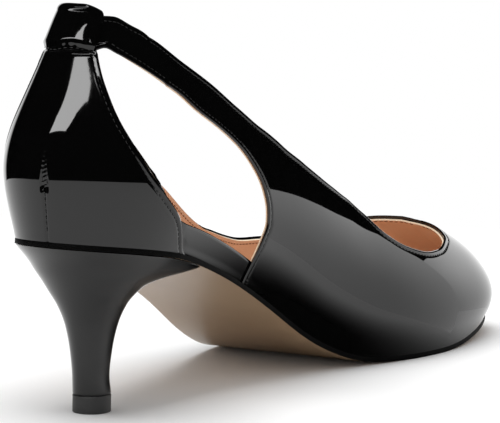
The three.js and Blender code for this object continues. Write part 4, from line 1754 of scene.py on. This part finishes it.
@dataclass
class Studio:
    """White floor, surroundings and camera."""

    azimuth: float = 59.5
    elevation: float = 7.7
    roll: float = 0.79
    distance: float = 1.275
    focal_pixels: float = 4138
    width: float = 500
    height: float = 423
    target: tuple[float, float, float] = (0.0627, 0.0, 0.045)
    target_pixel: tuple[float, float] = (201, 238)
    fill: float = 0.55

    def camera(self) -> None:
        """Sets the camera at the photograph's angle, turned a little so that the shoe sits where it does there."""
        turn, tilt, roll = map(math.radians, (self.azimuth, self.elevation, self.roll))
        right = Vector((math.cos(turn), -math.sin(turn), 0))
        level = Vector((math.sin(turn), math.cos(turn), 0))
        forward = level * math.cos(tilt) - Vector((0, 0, math.sin(tilt)))
        up = level * math.sin(tilt) + Vector((0, 0, math.cos(tilt)))
        right, up = right * math.cos(roll) + up * math.sin(roll), up * math.cos(roll) - right * math.sin(roll)
        place = Vector(self.target) - forward * self.distance
        aim = forward + right * ((self.width / 2 - self.target_pixel[0]) / self.focal_pixels)
        aim -= up * ((self.height / 2 - self.target_pixel[1]) / self.focal_pixels)
        aim.normalize()
        side = aim.cross(up).normalized()
        data = bpy.data.cameras.new("camera")
        data.sensor_width = 36
        data.lens = self.focal_pixels / self.width * data.sensor_width
        data.clip_end = 20
        piece = bpy.data.objects.new("camera", data)
        axes = Matrix((side, side.cross(aim), -aim)).transposed()
        piece.matrix_world = Matrix.Translation(place) @ axes.to_4x4()
        bpy.context.scene.collection.objects.link(piece)
        bpy.context.scene.camera = piece

    def floor(self) -> None:
        """A round white table top, whose edge shows in the lacquer, with a painted shadow that the lacquer shows too:
        a dark patch beside the shoe's inner side, in the table's colour for reflections only.
        """
        deselect()
        bpy.ops.mesh.primitive_circle_add(vertices=96, radius=0.42, fill_type="NGON", location=(0.03, 0, 0))
        piece = bpy.context.object
        piece.name = "floor"
        bpy.ops.object.transform_apply()
        material = bpy.data.materials.new("white_table")
        material.use_nodes = True
        tree = material.node_tree
        shader = tree.nodes["Principled BSDF"]
        shader.inputs["Roughness"].default_value = 0.9
        shader.inputs["Specular IOR Level"].default_value = 0.0
        place = add_node(tree, "ShaderNodeTexCoord", {}).outputs["Object"]
        # painted shadow: for the lacquer's reflections only, the table's colour darkens towards a patch beside the
        # shoe's inner side; camera and lamps see the table evenly white
        painted_shadow_patch = add_node(
            tree, "ShaderNodeMapping",
            {"vector_type": "TEXTURE", "Location": (0.1, -0.034, 0), "Scale": (0.078, 0.054, 1)}, Vector=place,
        )  # fmt: skip
        away = add_node(tree, "ShaderNodeVectorMath", {"operation": "LENGTH"}, i0=painted_shadow_patch.outputs[0])
        clear = ramp(tree, away.outputs["Value"], 0.2, 1.2)
        shade = by_ray(tree, "Is Glossy Ray", 1.0, clear)
        tint = add_node(tree, "ShaderNodeVectorMath", {"operation": "SCALE", 0: linear("#FAFAFA")[:3]}, Scale=shade)
        tree.links.new(tint.outputs[0], shader.inputs["Base Color"])
        piece.data.materials.append(material)

    def card(self, name: str, corners: Sequence[Sequence[tuple[float, float, float]]], glow: float | Callable) -> None:
        """A lit card that only the lacquer shows.

        Args:
            name: The card's name.
            corners: Columns of the card, each its lower and its upper end in metres.
            glow: The card's brightness, or what adds the nodes for it to its node tree and returns their socket.
        """
        piece, u, v = grid(name, len(corners) - 1, 1)
        index = np.rint(u * (len(corners) - 1)).astype(int)
        set_positions(piece, np.array(corners)[index, np.rint(v).astype(int)])
        material = bpy.data.materials.new(name + "_glow")
        material.use_nodes = True
        tree = material.node_tree
        tree.nodes.clear()
        light = add_node(tree, "ShaderNodeEmission", {})
        if callable(glow):
            tree.links.new(glow(tree), light.inputs["Strength"])
        else:
            light.inputs["Strength"].default_value = glow
        add_node(tree, "ShaderNodeOutputMaterial", {}, Surface=light.outputs[0])
        material.cycles.emission_sampling = "NONE"
        piece.data.materials.append(material)
        piece.visible_camera = piece.visible_diffuse = piece.visible_shadow = False

    @staticmethod
    def toe_glow(tree: Tree) -> Socket:
        """Brightness of the card round the toe, which grows from its foot up and towards its front.

        Args:
            tree: The card's node tree.

        Returns:
            The brightness's socket.
        """
        place = add_node(tree, "ShaderNodeTexCoord", {}).outputs["Object"]
        axes = add_node(tree, "ShaderNodeSeparateXYZ", {}, Vector=place).outputs
        up = ramp(tree, axes["Z"], 0.0, 0.05)
        aside = ramp(tree, axes["Y"], -0.1, -0.045, -0.05, 0.5)
        ahead = ramp(tree, axes["X"], 0.18, 0.235, 0.0, 0.4)
        both = add_node(tree, "ShaderNodeMath", {"operation": "ADD"}, i0=aside, i1=ahead).outputs[0]
        return add_node(tree, "ShaderNodeMath", {"operation": "MULTIPLY_ADD", 2: 1.0}, i0=up, i1=both).outputs[0]

    def cards(self) -> None:
        """The long softbox that the counter shows, the band high above it, and the card round the toe."""
        middle = Vector((-0.02, -0.005, 0.097))

        def away(azimuth: float, elevation: float) -> tuple[float, float, float]:
            """A place on the cards' sphere."""
            return tuple(middle + 1.2 * direction(azimuth, elevation))

        edges = (((-101, 36), (-138, 37)), ((-115, 36.5), (-155, 35)), ((-135, 33.5), (-178, 29.5)),
                 ((-159, 28), (-197, 21)), ((-179, 17), (-207, 12)))  # fmt: skip
        self.card("softbox", [[away(*low), away(*high)] for low, high in edges], 9.1)
        band = [[away(azimuth, 58), away(azimuth, 64)] for azimuth in range(-170, -9, 20)]
        self.card("high_band", band, 4.5)
        foot = ((0.175, -0.33, 0.075), (0.175, -0.1, 0.0645), (0.175, -0.044, 0.058), (0.2, -0.056, 0.06),
                (0.235, -0.075, 0.06), (0.24, 0.0, 0.06), (0.228, 0.06, 0.06))  # fmt: skip
        self.card("toe_card", [[(x, y, 0.0), (x, y, top)] for x, y, top in foot], self.toe_glow)

    def lamp(self, name: str, azimuth: float, elevation: float, distance: float, size: tuple[float, float],
             power: float) -> None:  # fmt: skip
        """A softbox that faces the shoe.

        Args:
            name: The lamp's name.
            azimuth: Direction from the shoe, in degrees from +X to +Y.
            elevation: Height in degrees.
            distance: Distance in metres.
            size: Width and height in metres.
            power: Power in watts.
        """
        data = bpy.data.lights.new(name, "AREA")
        data.shape = "RECTANGLE"
        data.size, data.size_y = size
        data.energy = power
        piece = bpy.data.objects.new(name, data)
        away = direction(azimuth, elevation)
        piece.location = Vector((0.02, 0, 0.06)) + away * distance
        piece.rotation_euler = away.to_track_quat("Z", "Y").to_euler()
        piece.visible_glossy = False
        bpy.context.scene.collection.objects.link(piece)

    def surroundings(self) -> None:
        """White to the camera; to the lacquer, black but for the white sweep behind and beside the shoe."""
        world = bpy.data.worlds.new("studio")
        bpy.context.scene.world = world
        world.use_nodes = True
        tree = world.node_tree
        tree.nodes.clear()
        way = add_node(tree, "ShaderNodeTexCoord", {}).outputs["Generated"]
        axes = add_node(tree, "ShaderNodeSeparateXYZ", {}, Vector=way)
        sweep = self.zone(tree, way, 38.0, 0.0, 26.0, 18.0)
        low = ramp(tree, axes.outputs["Z"], 0.26, 0.38, 1.3, 0.0)
        even = add_node(tree, "ShaderNodeMath", {"operation": "MULTIPLY"}, i0=sweep, i1=low).outputs[0]
        unseen = by_ray(tree, "Is Glossy Ray", self.fill, even)
        strength = by_ray(tree, "Is Camera Ray", unseen, 1.0)
        light = add_node(tree, "ShaderNodeBackground", {"Color": (1, 1, 1, 1)}, Strength=strength)
        add_node(tree, "ShaderNodeOutputWorld", {}, Surface=light.outputs[0])

    @staticmethod
    def zone(tree: Tree, way: Socket, azimuth: float, elevation: float, outer: float, inner: float) -> Socket:
        """A round part of the surroundings.

        Args:
            tree: The node tree.
            way: The direction looked in.
            azimuth: Direction of its middle in degrees from +X to +Y.
            elevation: Height of its middle in degrees.
            outer: Angle in degrees from its middle at which it ends.
            inner: Angle at which it starts to fade.

        Returns:
            Socket with 1 inside and 0 outside.
        """
        middle = tuple(direction(azimuth, elevation))
        near = add_node(tree, "ShaderNodeVectorMath", {"operation": "DOT_PRODUCT", 1: middle}, i0=way)
        return ramp(tree, near.outputs["Value"], math.cos(math.radians(outer)), math.cos(math.radians(inner)))

    def build(self) -> None:
        """Sets up camera, floor, surroundings, cards and lamp."""
        bpy.context.scene.view_settings.view_transform = "Standard"
        self.camera()
        self.floor()
        self.surroundings()
        self.cards()
        self.lamp("overhead", 90, 84, 1.3, (1.2, 1.2), 15.5)


def stand_in(pieces: Sequence[Piece], slot: str, *nodes: str) -> None:
    """Lets pieces ride on the shoe in place of CAD nodes.

    Args:
        pieces: The pieces.
        slot: Not used.
        nodes: The nodes that they stand for.
    """
    for piece in pieces:
        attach(piece, "root")
        if nodes:
            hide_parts(*nodes)
        log.info("%s: %d faces", piece.name, len(piece.data.polygons))


def main() -> None:
    """Builds the shoe piece by piece, then the studio."""
    logging.basicConfig(level=logging.INFO, format="%(message)s")
    finishes = Finishes()
    vamp, vamp_lining = Vamp().build(finishes)
    counter = Counter().build(finishes)
    inner_panel, outer_panel, quarter_lining = Panels().build(finishes)
    loop = Loop().build(finishes)
    outsole, insole = Bottom().build(finishes)
    heel, tip = Heel().build(finishes)
    stand_in([vamp, *counter, inner_panel, outer_panel], "patent", "upper")
    stand_in([vamp_lining, quarter_lining], "lining", "upper")
    stand_in(loop, "patent", "heel_loop")
    stand_in([outsole], "sole", "outsole")
    stand_in([insole], "lining", "insole")
    stand_in([heel], "heel_cover", "heel")
    stand_in([tip], "heel_tip", "heel_tip")
    stand_in(Stitches().build(finishes), "patent")
    Studio().build()


if __name__ == "__main__":
    main()
